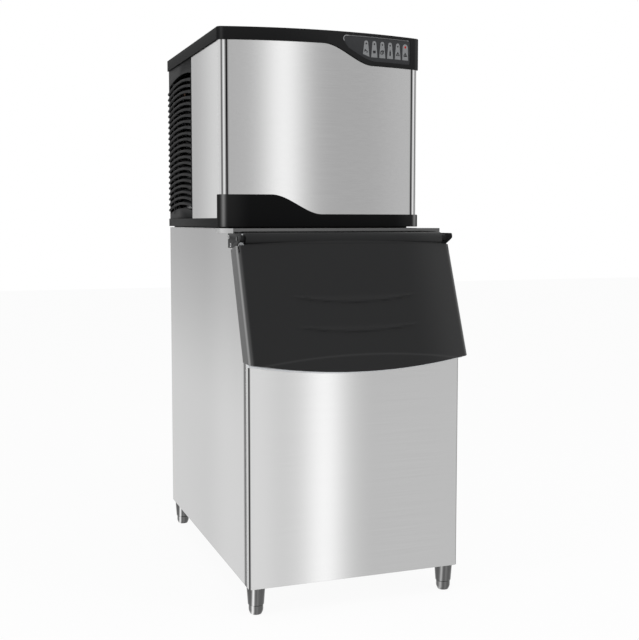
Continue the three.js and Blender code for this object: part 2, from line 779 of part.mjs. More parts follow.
// Bottom apron: tall on the left, falling in an S-curve to a low strip on the right
const apronProfile = (x) => headBase + eased(x, apronStart, apronEnd, apronTall, apronLow);
const wide = half + over * 4;
const aboveApron = frontal([
  [-wide, apronProfile(-wide)],
  ...spread(apronStart, apronEnd, 12).map((x) => [x, apronProfile(x)]),
  [wide, apronProfile(wide)],
  [wide, headTop],
  [-wide, headTop],
], headFront - frontBow - over * 4, binRear);
addPiece('head_front_apron', planWall(headPlan, apronOverhang, gap, headBase + gap, headBase + apronTall)
  .subtract(block(-wide, wide, rimFront - gap, binRear + over * 2, headBase - over, headTop))
  .subtract(aboveApron), darkPlastic);

// Top cap: a shell whose band drops in an S-curve to a deep brow on the right of the front
const brow = (x) => headTop - eased(x, browStart, browEnd, capBand, capBrow);
const browLine = spread(browStart, browEnd, 10).map((x) => [x, brow(x)]);
const capLevels = [
  [capOverhang, headTop - capBrow],
  [capOverhang, headTop - capEdgeRadius],
  [capOverhang - capEdgeRadius * 0.3, headTop - capEdgeRadius * 0.3],
  [capOverhang - capEdgeRadius, headTop],
];
const capSkin = skinned(capLevels.map(([grow, z]) =>
  frontedOutline(headPlan, grow).map(([x, y]) => [x, y, z])));
const underBrow = frontal([
  [-wide, headTop - capBrow - over],
  [wide, headTop - capBrow - over],
  [wide, brow(wide)],
  ...browLine.reverse(),
  [-wide, brow(-wide)],
], headFront - frontBow - over * 4, binRear + over * 4);
const wrapStart = headSeam + browWrap * 0.2;
const browBack = across([
  [binRear + over * 4, headTop - capBrow - over],
  [binRear + over * 4, headTop - capBand],
  ...spread(wrapStart + browWrap, wrapStart, 10).map((y) => [
    y, headTop - eased(y, wrapStart, wrapStart + browWrap, capBrow, capBand)]),
  [wrapStart, headTop - capBrow - over],
], -wide, wide);

// Control fascia: its outline keeps a border above the brow's edge and a nose at its left
function fasciaOutline(grow) {
  const top = headTop - fasciaTopInset + grow;
  const low = headTop - capBrow + fasciaBorder - grow;
  const right = fasciaRight + grow;
  const corner = fasciaCorner + grow;
  const nose = fasciaNose + grow;
  const noseX = fasciaLeft - grow + nose;
  const flank = spread(noseX + fasciaNose / 2, browEnd + fasciaShift, 12)
    .map((x) => [x, brow(x - fasciaShift) + fasciaBorder - grow]);
  return [
    ...arc(noseX, top - nose, nose, 0.5 * Math.PI, 1.25 * Math.PI, 6),
    ...flank,
    ...arc(right - corner, low + corner, corner, 1.5 * Math.PI, 2 * Math.PI, 3),
    ...arc(right - corner, top - corner, corner, 0, 0.5 * Math.PI, 3),
  ];
}
const throughFront = (outline) => frontal(outline, headFront - frontBow - over * 4, headFront + over);
const capShell = without(capSkin, [
  upright(frontedOutline(headPlan, gap), headTop - capBrow - over, headTop - capPlate),
  underBrow,
  browBack,
  throughFront(fasciaOutline(gap)),
]);
addPiece('head_top_cap', capShell, darkPlastic);

// Six raised tabs in a row, narrow and round at the top, each with a lamp hole
const fasciaProud = capOverhang - fasciaSink;
function tabOutline(x) {
  const top = headTop - tabRecess - fasciaTopInset;
  const crest = tabCrest / 2;
  return [
    ...arc(x, top - crest, crest, 0, Math.PI, 5),
    [x - tabBase / 2, top - tabHeight],
    [x + tabBase / 2, top - tabHeight],
  ];
}
const tabs = Array.from({ length: tabCount }, (_, i) => {
  const x = tabFirst + i * tabPitch;
  const lampZ = headTop - tabRecess - fasciaTopInset - lampDrop;
  return throughFront(tabOutline(x))
    .subtract(bar('y', lampRadius, [x, headFront - frontBow - over * 4, lampZ], frontBow + over * 8, 6));
});
const tabSkin = planWall(headPlan, fasciaProud + tabRaise, fasciaProud - tabRaise, headTop - capBrow, headTop);
const fasciaPlate = planWall(headPlan, fasciaProud, gap * 2, headTop - capBrow, headTop)
  .intersect(throughFront(fasciaOutline(0)));
const tabRow = joined(tabs).intersect(tabSkin).intersect(throughFront(fasciaOutline(-fasciaCorner)));
addPiece('control_fascia', fasciaPlate.add(tabRow), fasciaGrey);

// Louvre grille: an arch-topped window filled with bowed, arched blades that shed water outward
const windowLow = rimTop + louvreBand;
const windowTop = headTop - louvreTop;
const windowFront = grilleFront + louvrePost;
const windowRear = casingRear - louvrePost;
const windowRun = windowRear - windowFront;
const archAt = (y) => louvreArch * (1 - ((y - windowFront - windowRun * 0.42) / (windowRun * 0.58)) ** 2);
function louvre(height) {
  const rings = spread(windowFront - gap * 4, windowRear + gap * 4, 3).map((y) => {
    const t = (y - windowFront) / (windowRear - windowFront);
    const outer = -half - louvreProud * (0.45 + 0.55 * Math.sin(Math.PI * Math.min(1, Math.max(0, t))));
    const inner = -half + louvreReach;
    const z = height + archAt(y);
    return [
      [outer, y, z - louvreDrop],
      [outer, y, z - louvreDrop + louvreThickness],
      [inner, y, z + louvreThickness * louvreTaperShare],
      [inner, y, z],
    ];
  });
  return skinned(rings, 'y');
}
const frame = block(-half, -half + grilleWall, grilleFront, casingRear, panelLow, casingTop)
  .add(block(-half, -half + louvreReach, grilleFront, windowFront, windowLow, windowTop))
  .add(block(-half, -half + louvreReach, windowRear, innerRear - gap, windowLow, windowTop));
const lowerArch = spread(windowFront, windowRear, 6).map((y) => [y, windowLow + archAt(y) * 0.8]);
const upperArch = spread(windowRear, windowFront, 6).map((y) => [y, windowTop + archAt(y)]);
const opening = across([...lowerArch, ...upperArch], -half - over, -half + louvreReach + over);
const dividerY = binRear - dividerSetback;
const divider = [
  block(-half + louvreReach + gap, -half + louvreReach + grilleWall, dividerY - grilleWall, dividerY + grilleWall,
    windowLow - over, windowTop + over),
  ...[windowLow, windowTop].map((z) => block(-half + gap, -half + louvreReach + grilleWall,
    dividerY - grilleWall, dividerY + grilleWall, z - over, z + over)),
];
const louvreCount = Math.floor((windowTop - windowLow - louvreDrop) / louvrePitch);
const blades = Array.from({ length: louvreCount }, (_, i) => louvre(windowLow + louvrePitch * (i + 0.9)));
const leftGrille = joined([frame.subtract(opening), ...divider, ...blades])
  .intersect(block(-half - over * 4, -half + louvreReach + grilleWall, grilleFront, casingRear, panelLow, casingTop));
addPiece('left_louvre_grille', leftGrille, darkPlastic);
addPiece('right_louvre_grille', mirrored(leftGrille), darkPlastic);

// Ice making: a gear motor on the pan turns the auger in an upright freezing barrel; nuggets leave through the
// extruder head on top and fall down the chute into the bin
const deskLow = panTop + gap;
const gearboxTop = deskLow + gearboxHeight;
const boxHalf = gearboxWidth / 2;
const motorZ = deskLow + gearboxHeight / 2;
const gearbox = block(towerX - boxHalf, towerX + boxHalf,
  towerY - boxHalf, towerY + boxHalf, deskLow, gearboxTop)
  .add(bar('y', motorRadius * 0.7, [towerX, towerY + boxHalf - over, motorZ], motorLength, 20));
addPiece('gear_motor', gearbox.subtract(
  bar('z', augerShaft + gap, [towerX, towerY, gearboxTop - augerSeat], augerSeat + over)), castMetal);

const barrelLow = gearboxTop + gap;
const barrelTop = barrelLow + barrelHeight;
const tower = [towerX, towerY, 0];
const barrel = turned([
  [0, barrelLow],
  [barrelFlange, barrelLow],
  [barrelFlange, barrelLow + flangeThickness],
  [barrelRadius, barrelLow + flangeThickness * 2],
  [barrelRadius, barrelTop - flangeThickness * 2],
  [barrelFlange, barrelTop - flangeThickness],
  [barrelFlange, barrelTop],
  [0, barrelTop],
], tower, 18);
const boreLow = barrelLow + flangeThickness;
addPiece('evaporator_barrel', without(barrel, [
  bar('z', barrelBore, [towerX, towerY, boreLow], barrelHeight, 20),
  bar('z', augerShaft + gap, [towerX, towerY, barrelLow - over], flangeThickness + over * 2),
]), steel);

// The auger's flight is one helical ribbon wound round its shaft
const flightRadius = barrelBore - augerClearance;
const flightLow = boreLow + augerClearance + gap;
const flightTurns = Math.floor((barrelTop - flightLow - flightThickness) / augerPitch);
function flight() {
  const steps = augerSides;
  const total = flightTurns * steps;
  const rings = Array.from({ length: total + 1 }, (_, i) => {
    const angle = (2 * Math.PI * i) / steps;
    const z = flightLow + (augerPitch * i) / steps;
    const at = (radius, lift) =>
      [towerX + radius * Math.cos(angle), towerY + radius * Math.sin(angle), z + lift];
    return [
      at(augerShaft / 2, 0),
      at(augerShaft / 2, flightThickness),
      at(flightRadius, flightThickness * flightTipShare),
      at(flightRadius, 0),
    ];
  });
  const faces = [];
  for (let i = 0; i < total; i++) {
    for (let k = 0; k < 4; k++) {
      const a = i * 4 + k;
      const b = i * 4 + ((k + 1) % 4);
      faces.push(a, b, b + 4, a, b + 4, a + 4);
    }
  }
  const last = total * 4;
  faces.push(0, 2, 1, 0, 3, 2, last, last + 1, last + 2, last, last + 2, last + 3);
  const geometry = new THREE.BufferGeometry();
  geometry.setAttribute('position', new THREE.Float32BufferAttribute(rings.flat(2), 3));
  geometry.setIndex(faces);
  return solidOf(geometry);
}
const extruderLow = barrelTop + gap;
const extruderTop = extruderLow + extruderHeight;
const shaftLow = gearboxTop - augerSeat + gap;
const shaftTop = extruderTop - flangeThickness - gap;
const shaft = bar('z', augerShaft, [towerX, towerY, shaftLow], shaftTop - shaftLow, augerSides);
addPiece('auger', shaft.add(flight()), steel);

const spoutLow = extruderTop - spoutHeight - flangeThickness;
const chuteRight = chuteX + chuteHalfX;
const extruder = turned([
  [0, extruderLow],
  [barrelFlange, extruderLow],
  [barrelFlange, extruderLow + flangeThickness],
  [barrelRadius * 0.94, extruderLow + flangeThickness],
  [barrelRadius * 0.94, extruderTop - over],
  [barrelRadius * 0.94 - over, extruderTop],
  [0, extruderTop],
], tower, 18)
  .add(block(chuteRight + gap, towerX,
    towerY - spoutWidth / 2, towerY + spoutWidth / 2, spoutLow, extruderTop - over * 2));
addPiece('extruder_head', without(extruder, [
  bar('z', augerShaft + gap, [towerX, towerY, extruderLow - over], extruderHeight - flangeThickness + over),
  bar('z', barrelBore * 0.86, [towerX, towerY, spoutLow + chuteWall],
    spoutHeight - over * 2 - chuteWall * 2, 20),
  block(chuteRight - over, towerX, towerY - spoutWidth / 2 + chuteWall, towerY + spoutWidth / 2 - chuteWall,
    spoutLow + chuteWall, extruderTop - over * 2 - chuteWall),
  ...Array.from({ length: extruderHoles }, (_, i) => bar('z', barrelBore * 0.2, [
    towerX + barrelBore * 0.6 * Math.cos((i * 2 * Math.PI) / extruderHoles),
    towerY + barrelBore * 0.6 * Math.sin((i * 2 * Math.PI) / extruderHoles),
    extruderLow - over], spoutLow - extruderLow + over * 2, 6)),
]), steel);

// Ice chute: a square duct down through the pan and the deck, with a flap on top that the ice lifts when full
const chuteLow = deckUnder - chuteDrop;
const chuteTop = extruderTop;
addPiece('ice_chute', without(dropHole(0, chuteLow, chuteTop), [
  dropHole(-chuteWall, chuteLow - over, chuteTop + over),
  block(chuteRight - over, chuteRight + over,
    towerY - spoutWidth / 2 + chuteWall, towerY + spoutWidth / 2 - chuteWall,
    spoutLow + chuteWall, extruderTop - over * 2 - chuteWall),
]), linerWhite);
const flapPinRadius = chuteWall * 1.5;
const flapHinge = [chuteX - chuteHalfX, chuteY - chuteHalfY, chuteTop + gap + flapPinRadius];
const flapGroup = new THREE.Group();
flapGroup.position.set(...flapHinge);
machine.add(flapGroup);
addPiece('bin_full_flap', joined([
  bar('y', flapPinRadius, [0, 0, 0], chuteHalfY * 2, 12),
  block(0, chuteHalfX * 2, 0, chuteHalfY * 2, -flapPinRadius, flapPlate - flapPinRadius),
]), linerWhite, flapGroup);

// Water side: a tank on a bent shelf, a float valve across its rim and the float on its arm
const shelfHeight = deskLow + shelfRise;
const tankLow = shelfHeight + gap;
const tankTop = tankLow + tankHeight;
const tankRight = tankX + tankWidth / 2;
const tankFront = tankY - tankLength / 2;
const tankRear = tankY + tankLength / 2;
const tankBox = (grow, low, high) =>
  block(tankRight - tankWidth - grow, tankRight + grow, tankFront - grow, tankRear + grow, low, high);
addPiece('tank_shelf', joined([
  tankBox(0, shelfHeight - sheet * 2, shelfHeight),
  block(tankRight - sheet * 2, tankRight, tankFront, tankRear, deskLow, shelfHeight),
  block(tankRight - shelfFoot, tankRight, tankFront, tankRear, deskLow, deskLow + sheet * 2),
]), steel);
const tankInside = tankBox(-tankWall, tankLow + tankWall, tankTop + over);
addPiece('water_reservoir', tankBox(0, tankLow, tankTop).subtract(tankInside), linerWhite);
const valveY = tankRear - valveBlock;
const valveLow = tankTop + gap;
const floatPivot = [tankX, valveY - gap, valveLow - valveBlock / 2];
const earHalf = valveBlock / 2;
const valveBack = valveY + valveBlock - over;
const valveEar = (left) =>
  block(left, left + over, valveY - over, valveY + over * 2, valveLow - valveBlock, valveLow + over);
addPiece('inlet_valve', joined([
  block(tankRight - tankWidth, tankRight, valveY + over, valveBack, valveLow, valveLow + over),
  block(tankX - earHalf, tankX + earHalf, valveY, valveBack, valveLow, valveLow + valveBlock),
  valveEar(tankX - earHalf),
  valveEar(tankX + earHalf - over),
  bar('y', fittingRadius * 0.7, [tankX, valveBack - over, valveLow + earHalf], over * 4),
]).subtract(bar('x', chuteWall + gap, [tankX - valveBlock, valveY, floatPivot[2]], valveBlock * 2, 12)), brass);
const floatGroup = new THREE.Group();
floatGroup.position.set(tankX, valveY, floatPivot[2]);
machine.add(floatGroup);
const floatBack = -over * 3;
addPiece('float_arm', joined([
  bar('x', chuteWall, [-earHalf, 0, 0], valveBlock, 12),
  block(-chuteWall, chuteWall, floatBack + over - floatLength / 2, 0, -chuteWall, chuteWall),
  block(-floatWidth / 2, floatWidth / 2, floatBack - floatLength, floatBack, -floatHeight, -chuteWall / 2),
]), linerWhite, floatGroup);

// Refrigeration: finned condenser behind the left grille, fan in its shroud, hermetic compressor, drier and pipes
const coilLeft = -half + coilStandoff;
const coilRight = coilLeft + coilThickness;
const coilMiddle = (grilleFront + casingRear) / 2;
const coilFront = coilMiddle - coilWidth / 2;
const coilBack = coilMiddle + coilWidth / 2;
const finPitch = coilWidth / finCount;
const finProfile = [[coilRight, coilFront], [coilRight, coilBack]];
for (let i = finCount - 1; i >= 0; i--) {
  const y = coilFront + i * finPitch;
  finProfile.push(
    [coilLeft, y + finPitch],
    [coilLeft, y + finPitch * 0.6],
    [coilLeft + finDepth, y + finPitch * 0.6],
    [coilLeft + finDepth, y],
  );
}
finProfile.push([coilLeft + finDepth, coilFront]);
const coilTop = deskLow + coilHeight;
const newPoint = (p, i, all) => i === 0 || p[0] !== all[i - 1][0] || p[1] !== all[i - 1][1];
const coil = upright(finProfile.filter(newPoint), deskLow, coilTop);
addPiece('condenser_coil', coil, finMetal);

const fanZ = deskLow + coilHeight / 2;
const shroudLeft = coilRight + shroudStandoff;
const shroudBore = fanRadius + fanClearance;
addPiece('fan_shroud', joined([
  block(shroudLeft, shroudLeft + shroudPlate, coilFront, coilBack, deskLow, coilTop),
  bar('x', shroudBore + shroudPlate, [shroudLeft, coilMiddle, fanZ], shroudCollar, 24),
  block(coilRight + gap, shroudLeft + shroudPlate, coilFront, coilFront + over, deskLow, coilTop),
  block(coilRight + gap, shroudLeft + shroudPlate, coilBack - over, coilBack, deskLow, coilTop),
]).subtract(bar('x', shroudBore, [shroudLeft - over, coilMiddle, fanZ], shroudCollar + over * 2, 24)), blackPaint);

const fanX = shroudLeft + shroudCollar / 2;
const fanGroup = new THREE.Group();
fanGroup.position.set(fanX, coilMiddle, fanZ);
machine.add(fanGroup);
const bladeShape = new THREE.Shape([
  [fanHub * 0.7, -fanHub * 0.45], [fanRadius * 0.93, -fanRadius * 0.3], [fanRadius * 0.99, 0],
  [fanRadius * 0.93, fanRadius * 0.3], [fanHub * 0.7, fanHub * 0.5],
].map(([a, b]) => new THREE.Vector2(a, b)));
const bladePlate = new THREE.ExtrudeGeometry(bladeShape, { depth: sheet * 1.5, bevelEnabled: false });
bladePlate.translate(0, 0, -sheet * 0.75);
const fanPaddles = Array.from({ length: fanBlades }, (_, i) => {
  const geometry = bladePlate.clone();
  geometry.rotateX(fanPitch * 0.6);
  geometry.rotateZ((2 * Math.PI * i) / fanBlades);
  geometry.rotateY(Math.PI / 2);
  return solidOf(geometry);
});
const hubReach = shroudCollar * 0.6;
addPiece('fan_blade', joined([bar('x', fanHub, [-hubReach / 2, 0, 0], hubReach), ...fanPaddles])
  .subtract(bar('x', over, [0, 0, 0], hubReach, 12)), finMetal, fanGroup);

const motorLeft = fanX + hubReach / 2 + over;
const motorRight = motorLeft + fanMotorLength;
addPiece('fan_motor', joined([
  bar('x', fanMotorRadius, [motorLeft, coilMiddle, fanZ], fanMotorLength, 16),
  bar('x', over - gap, [fanX + gap * 2, coilMiddle, fanZ], hubReach + over, 12),
  block(motorLeft + over, motorRight - over, coilMiddle - over * 2, coilMiddle + over * 2, deskLow, fanZ),
  block(motorLeft, motorRight, coilMiddle - fanMotorRadius, coilMiddle + fanMotorRadius, deskLow, deskLow + over),
]), blackPaint);

const canX = motorLeft + fanMotorLength + canStandoff + canRadius * 1.15;
const canLow = deskLow + canFootHeight;
const can = turned([
  [0, canLow],
  [canRadius * 0.82, canLow],
  [canRadius * 0.97, canLow + canRadius * 0.2],
  [canRadius, canLow + canHeight * 0.44],
  [canRadius * 1.04, canLow + canHeight * 0.46],
  [canRadius * 1.04, canLow + canHeight * 0.52],
  [canRadius, canLow + canHeight * 0.54],
  [canRadius * 0.96, canLow + canHeight * 0.8],
  [canRadius * 0.72, canLow + canHeight * 0.95],
  [canRadius * 0.3, canLow + canHeight],
  [0, canLow + canHeight],
], [canX, canY, 0], 16);
const canFoot = (sx, sy) => bar('z', canFootHeight,
  [canX + sx * canRadius * 0.95, canY + sy * canRadius * 0.8, deskLow], canFootHeight + over, 6);
const canPlate = block(canX - canRadius * 1.15, canX + canRadius * 1.15,
  canY - canRadius, canY + canRadius, canLow, canLow + over);
const canHollow = bar('z', canRadius * 0.86, [canX, canY, canLow - over], canHeight * 0.84);
addPiece('compressor', joined([can, canPlate, canFoot(-1, -1), canFoot(1, -1), canFoot(-1, 1), canFoot(1, 1)])
  .subtract(canHollow), blackPaint);

// Pipes: hot gas to the coil, liquid through the drier to the barrel, cold gas back to the compressor
const canTop = canLow + canHeight;
const tubeTop = coilTop + canRadius * 0.4;
const coilX = (coilLeft + coilRight) / 2;
addPiece('discharge_pipe', pipe([
  [canX, canY, canTop + gap],
  [canX, canY, canTop + canRadius * 0.5],
  [canX - canRadius * 0.5, canY + canRadius * 0.6, tubeTop - over],
  [coilX + canRadius, coilBack - canRadius * 0.4, tubeTop],
  [coilX + over, coilBack - canRadius * 0.2, tubeTop],
  [coilX, coilBack - canRadius * 0.2, tubeTop - over],
  [coilX, coilBack - canRadius * 0.2, coilTop + gap],
], pipeRadius), copper);

const drierX = coilX;
const drierY = coilFront - drierRadius * 1.6;
const drierLow = deskLow + canRadius;
const drierTop = drierLow + drierLength;
addPiece('filter_drier', turned([
  [0, drierLow],
  [pipeRadius * 1.4, drierLow],
  [drierRadius, drierLow + drierRadius * 0.7],
  [drierRadius, drierTop - drierRadius * 0.7],
  [pipeRadius * 1.4, drierTop],
  [0, drierTop],
], [drierX, drierY, 0], 12), copper);
addPiece('liquid_pipe', pipe([
  [coilX, coilFront + over * 3, deskLow + coilHeight + gap],
  [coilX, coilFront + over * 3, tubeTop - canRadius * 0.2],
  [coilX, coilFront, tubeTop],
  [drierX, drierY + over, tubeTop],
  [drierX, drierY, tubeTop - canRadius * 0.2],
  [drierX, drierY, drierTop + gap],
], pipeRadius * 0.8), copper);
const feedZ = barrelLow + barrelHeight * 0.3;
const returnZ = barrelLow + barrelHeight * 0.72;
addPiece('expansion_pipe', pipe([
  [drierX, drierY, drierLow - gap],
  [drierX, drierY, drierLow - drierRadius],
  [drierX + drierRadius, drierY, drierLow - drierRadius * 2],
  [chuteX - chuteHalfX - drierRadius * 2, drierY - drierRadius, drierLow - drierRadius * 2],
  [chuteX - chuteHalfX, chuteY + chuteHalfY + drierRadius, drierLow - drierRadius],
  [chuteRight, chuteY + chuteHalfY + drierRadius, feedZ],
  [towerX - barrelRadius * 0.4, towerY + barrelRadius + drierRadius * 0.8, feedZ],
  [towerX, towerY + barrelRadius + pipeRadius * 2, feedZ],
  [towerX, towerY + barrelRadius + gap, feedZ],
], pipeRadius * 0.6, 20), copper);
addPiece('suction_pipe', pipe([
  [towerX - barrelRadius * 0.5, towerY + barrelRadius + gap, returnZ],
  [towerX - barrelRadius * 0.5, towerY + barrelRadius + pipeRadius * 3, returnZ],
  [towerX - barrelRadius * 0.6, towerY + barrelRadius * 2, returnZ],
  [canX + canRadius * 0.3, canY - canRadius * 1.5, canLow + canHeight * 0.8],
  [canX, canY - canRadius * 1.35, canLow + canHeight * 0.55],
  [canX, canY - canRadius * 1.25, canLow + canHeight * 0.49],
  [canX, canY - canRadius * 1.04 - gap, canLow + canHeight * 0.49],
], pipeRadius * 1.3, 20), copper);

// Water hose from the tank's floor to the foot of the barrel
const hoseZ = barrelLow + flangeThickness * 4;
addPiece('feed_hose', pipe([
  [tankX - tankWidth / 2 - gap, tankY - tankLength * 0.3, tankLow + pipeRadius * 2.5],
  [tankX - tankWidth / 2 - pipeRadius * 3, tankY - tankLength * 0.3, tankLow + pipeRadius * 2.5],
  [tankX - tankWidth / 2 - pipeRadius * 4, tankY - tankLength * 0.5, (tankLow + hoseZ) / 2],
  [towerX + barrelRadius * 0.3, towerY + barrelRadius * 1.5, hoseZ + pipeRadius],
  [towerX + barrelRadius * 0.3, towerY + barrelRadius * 1.2, hoseZ],
  [towerX + barrelRadius * 0.3, towerY + barrelRadius * 0.97 + gap, hoseZ],
], pipeRadius * 1.2, 16), gasketRubber);

// Control box on the pan behind the fascia
const boxRight = half - skin - over;
addPiece('control_box', joined([
  block(boxRight - boxWidth, boxRight, headSeam, headSeam + boxDepth, deskLow, deskLow + boxHeight),
  block(boxRight - boxWidth - sheet, boxRight - boxWidth + over, headSeam + over, headSeam + boxDepth - over,
    deskLow + over * 4, deskLow + boxHeight - over * 4),
]).subtract(block(boxRight - boxWidth + sheet, boxRight - sheet, headSeam + sheet, headSeam + boxDepth - sheet,
  deskLow - over, deskLow + boxHeight - sheet)), steel);

// Rear fittings: water inlet, drain and the gland for the supply lead
function rearFitting([x, z], sides, bore) {
  const body = bar('y', fittingRadius, [x, innerRear - over, z], fittingReach + over + sheet)
    .add(bar('y', fittingFlange, [x, casingRear + gap, z], fittingPlate, sides));
  return body.subtract(bar('y', bore, [x, innerRear - over * 2, z], fittingReach + over * 4, 12));
}
addPiece('water_inlet_fitting', rearFitting(rearFittings[0], 6, fittingRadius * 0.6), brass);
addPiece('drain_fitting', rearFitting(rearFittings[1], 12, fittingRadius * 0.7), darkPlastic);
addPiece('cable_gland', rearFitting(rearFittings[2], 6, fittingRadius * 0.5), darkPlastic);

// The origin is under the middle of the whole machine
const reachFront = pivotY + (doorFace - doorCrown) * Math.cos(slope) + lipTop * Math.sin(slope);
const reachBack = Math.max(binRear + binDrainReach, casingRear + fittingReach);
machine.position.y = -(reachFront + reachBack) / 2;

export default machine;
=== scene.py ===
import json
import math

import bmesh
import bpy
from mathutils import Matrix, Vector


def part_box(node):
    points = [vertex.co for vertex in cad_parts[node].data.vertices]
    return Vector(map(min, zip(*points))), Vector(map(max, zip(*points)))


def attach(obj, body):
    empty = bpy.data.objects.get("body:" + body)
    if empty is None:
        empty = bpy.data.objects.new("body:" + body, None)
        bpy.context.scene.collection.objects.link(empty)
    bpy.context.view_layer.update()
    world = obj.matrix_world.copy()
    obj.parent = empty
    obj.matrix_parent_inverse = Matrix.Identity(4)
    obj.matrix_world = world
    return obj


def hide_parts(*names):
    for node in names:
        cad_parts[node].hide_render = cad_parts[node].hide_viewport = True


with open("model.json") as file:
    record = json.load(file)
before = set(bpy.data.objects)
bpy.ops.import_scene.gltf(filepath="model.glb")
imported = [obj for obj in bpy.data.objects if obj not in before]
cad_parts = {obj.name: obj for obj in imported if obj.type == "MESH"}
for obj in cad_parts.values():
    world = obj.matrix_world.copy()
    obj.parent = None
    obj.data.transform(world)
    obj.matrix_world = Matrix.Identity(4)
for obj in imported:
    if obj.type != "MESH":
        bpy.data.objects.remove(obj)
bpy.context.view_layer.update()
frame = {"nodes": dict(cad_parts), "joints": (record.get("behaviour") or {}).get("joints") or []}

# The photograph's camera: a little left of the machine's middle, at chest height and tipped slightly down.
# Its place comes from the fitted vanishing points, and its shift only centres the frame.
photo_width, photo_height = 639, 640
focal_pixels = 1026.4
axis_column, axis_row = 312, 300
photo_camera = bpy.data.cameras.new("photo_camera")
photo_camera.sensor_width = 36
photo_camera.lens = focal_pixels * photo_camera.sensor_width / photo_height
photo_camera.shift_x = (photo_width / 2 - axis_column) / photo_height
photo_camera.shift_y = (axis_row - photo_height / 2) / photo_height
viewer = bpy.data.objects.new("photo_camera", photo_camera)
viewer.location = (-0.955, -2.7485, 0.957)
viewer.rotation_euler = (math.radians(90 - 4.37), 0, math.radians(-19.78))
bpy.context.scene.collection.objects.link(viewer)
bpy.context.scene.camera = viewer
bpy.context.scene.view_settings.view_transform = "Standard"


class Link:
    """A socket of a node tree. Arithmetic on it adds Math nodes."""

    def __init__(self, nodes, socket):
        self.nodes = nodes
        self.socket = socket

    def math(self, operation, *values):
        return self.nodes.node("ShaderNodeMath", {"operation": operation}, values)

    def __add__(self, other):
        return self.math("ADD", self, other)

    def __radd__(self, other):
        return self.math("ADD", other, self)

    def __sub__(self, other):
        return self.math("SUBTRACT", self, other)

    def __rsub__(self, other):
        return self.math("SUBTRACT", other, self)

    def __mul__(self, other):
        return self.math("MULTIPLY", self, other)

    def __rmul__(self, other):
        return self.math("MULTIPLY", other, self)

    def __truediv__(self, other):
        return self.math("DIVIDE", self, other)


class Nodes:
    """A node tree, and the one way in which a node is added to it."""

    def __init__(self, tree):
        self.tree = tree

    def node(self, kind, settings, values=(), output=0):
        made = self.tree.nodes.new(kind)
        for key, setting in settings.items():
            setattr(made, key, setting)
        for key, value in values.items() if isinstance(values, dict) else enumerate(values):
            if isinstance(value, Link):
                self.tree.links.new(value.socket, made.inputs[key])
            else:
                made.inputs[key].default_value = value
        return Link(self, made.outputs[output])


class Finish(Nodes):
    """A material on one Principled shader, with numbers that are even all over set on its sockets."""

    def __init__(self, name, colour, roughness, metallic=0.0, specular=0.5):
        self.material = bpy.data.materials.new(name)
        self.material.use_nodes = True
        self.material.diffuse_color = (*colour, 1)
        super().__init__(self.material.node_tree)
        self.shader = self.tree.nodes["Principled BSDF"]
        self.feed("Base Color", (*colour, 1))
        self.feed("Roughness", roughness)
        self.feed("Metallic", metallic)
        self.feed("Specular IOR Level", specular)

    def feed(self, socket, value):
        target = self.shader.inputs[socket]
        if isinstance(value, Link):
            self.tree.links.new(value.socket, target)
        else:
            target.default_value = value

    def place(self, scale=(1, 1, 1)):
        """Object coordinates, stretched."""
        coordinates = self.node("ShaderNodeTexCoord", {}, output="Object")
        return self.node("ShaderNodeMapping", {}, {"Vector": coordinates, "Scale": scale})

    def along(self, axis):
        """One object coordinate, in metres."""
        return self.node("ShaderNodeSeparateXYZ", {}, (self.place(),), output=axis)

    def noise(self, scale, stretch=(1, 1, 1), detail=3.0):
        values = {"Vector": self.place(stretch), "Scale": scale, "Detail": detail}
        return self.node("ShaderNodeTexNoise", {}, values)

    def hill(self, coordinate, centre, width):
        """One at a place along a coordinate, and falling away on both sides."""
        away = (coordinate - centre) / width
        return self.of("EXPONENT", away * away * -1.0)

    def of(self, operation, *values):
        return self.node("ShaderNodeMath", {"operation": operation}, values)

    def ramp(self, coordinate, start, end):
        """Zero before one place, one past another, eased between them."""
        settings = {"interpolation_type": "SMOOTHSTEP"}
        return self.node("ShaderNodeMapRange", settings, {"Value": coordinate, 1: start, 2: end})

    def mix(self, factor, first, second):
        values = {0: factor, 6: first, 7: second}
        return self.node("ShaderNodeMix", {"data_type": "RGBA"}, values, output=2)

    def bump(self, height, strength, distance):
        values = {"Height": height, "Strength": strength, "Distance": distance}
        self.feed("Normal", self.node("ShaderNodeBump", {}, values))


# The studio: a plain pale floor that runs on as the backdrop, a soft even sky and three large soft lamps.
# The sky is white to the eye and to metal, and dimmer as a light, so that a colour renders as it is written.
floor_size = 24
floor_shape = bmesh.new()
bmesh.ops.create_grid(floor_shape, x_segments=1, y_segments=1, size=floor_size / 2)
floor_mesh = bpy.data.meshes.new("floor")
floor_shape.to_mesh(floor_mesh)
floor_shape.free()
floor = bpy.data.objects.new("floor", floor_mesh)
bpy.context.scene.collection.objects.link(floor)
floor_paint = Finish("pale_floor", (0.9, 0.9, 0.9), 0.9, specular=0.1)
floor_paint.material.diffuse_color = (1, 1, 1, 1)
seen = floor_paint.node("ShaderNodeLightPath", {}, output="Is Camera Ray")
mirrored = floor_paint.node("ShaderNodeLightPath", {}, output="Is Glossy Ray")
glow = floor_paint.node("ShaderNodeEmission", {}, {"Color": (1, 1, 1, 1), "Strength": 1.0})
floor_mixed = floor_paint.node("ShaderNodeMixShader", {}, (
    (seen + mirrored) * 0.93, Link(floor_paint, floor_paint.shader.outputs[0]), glow))
floor_paint.tree.links.new(floor_mixed.socket, floor_paint.tree.nodes["Material Output"].inputs["Surface"])
floor_mesh.materials.append(floor_paint.material)

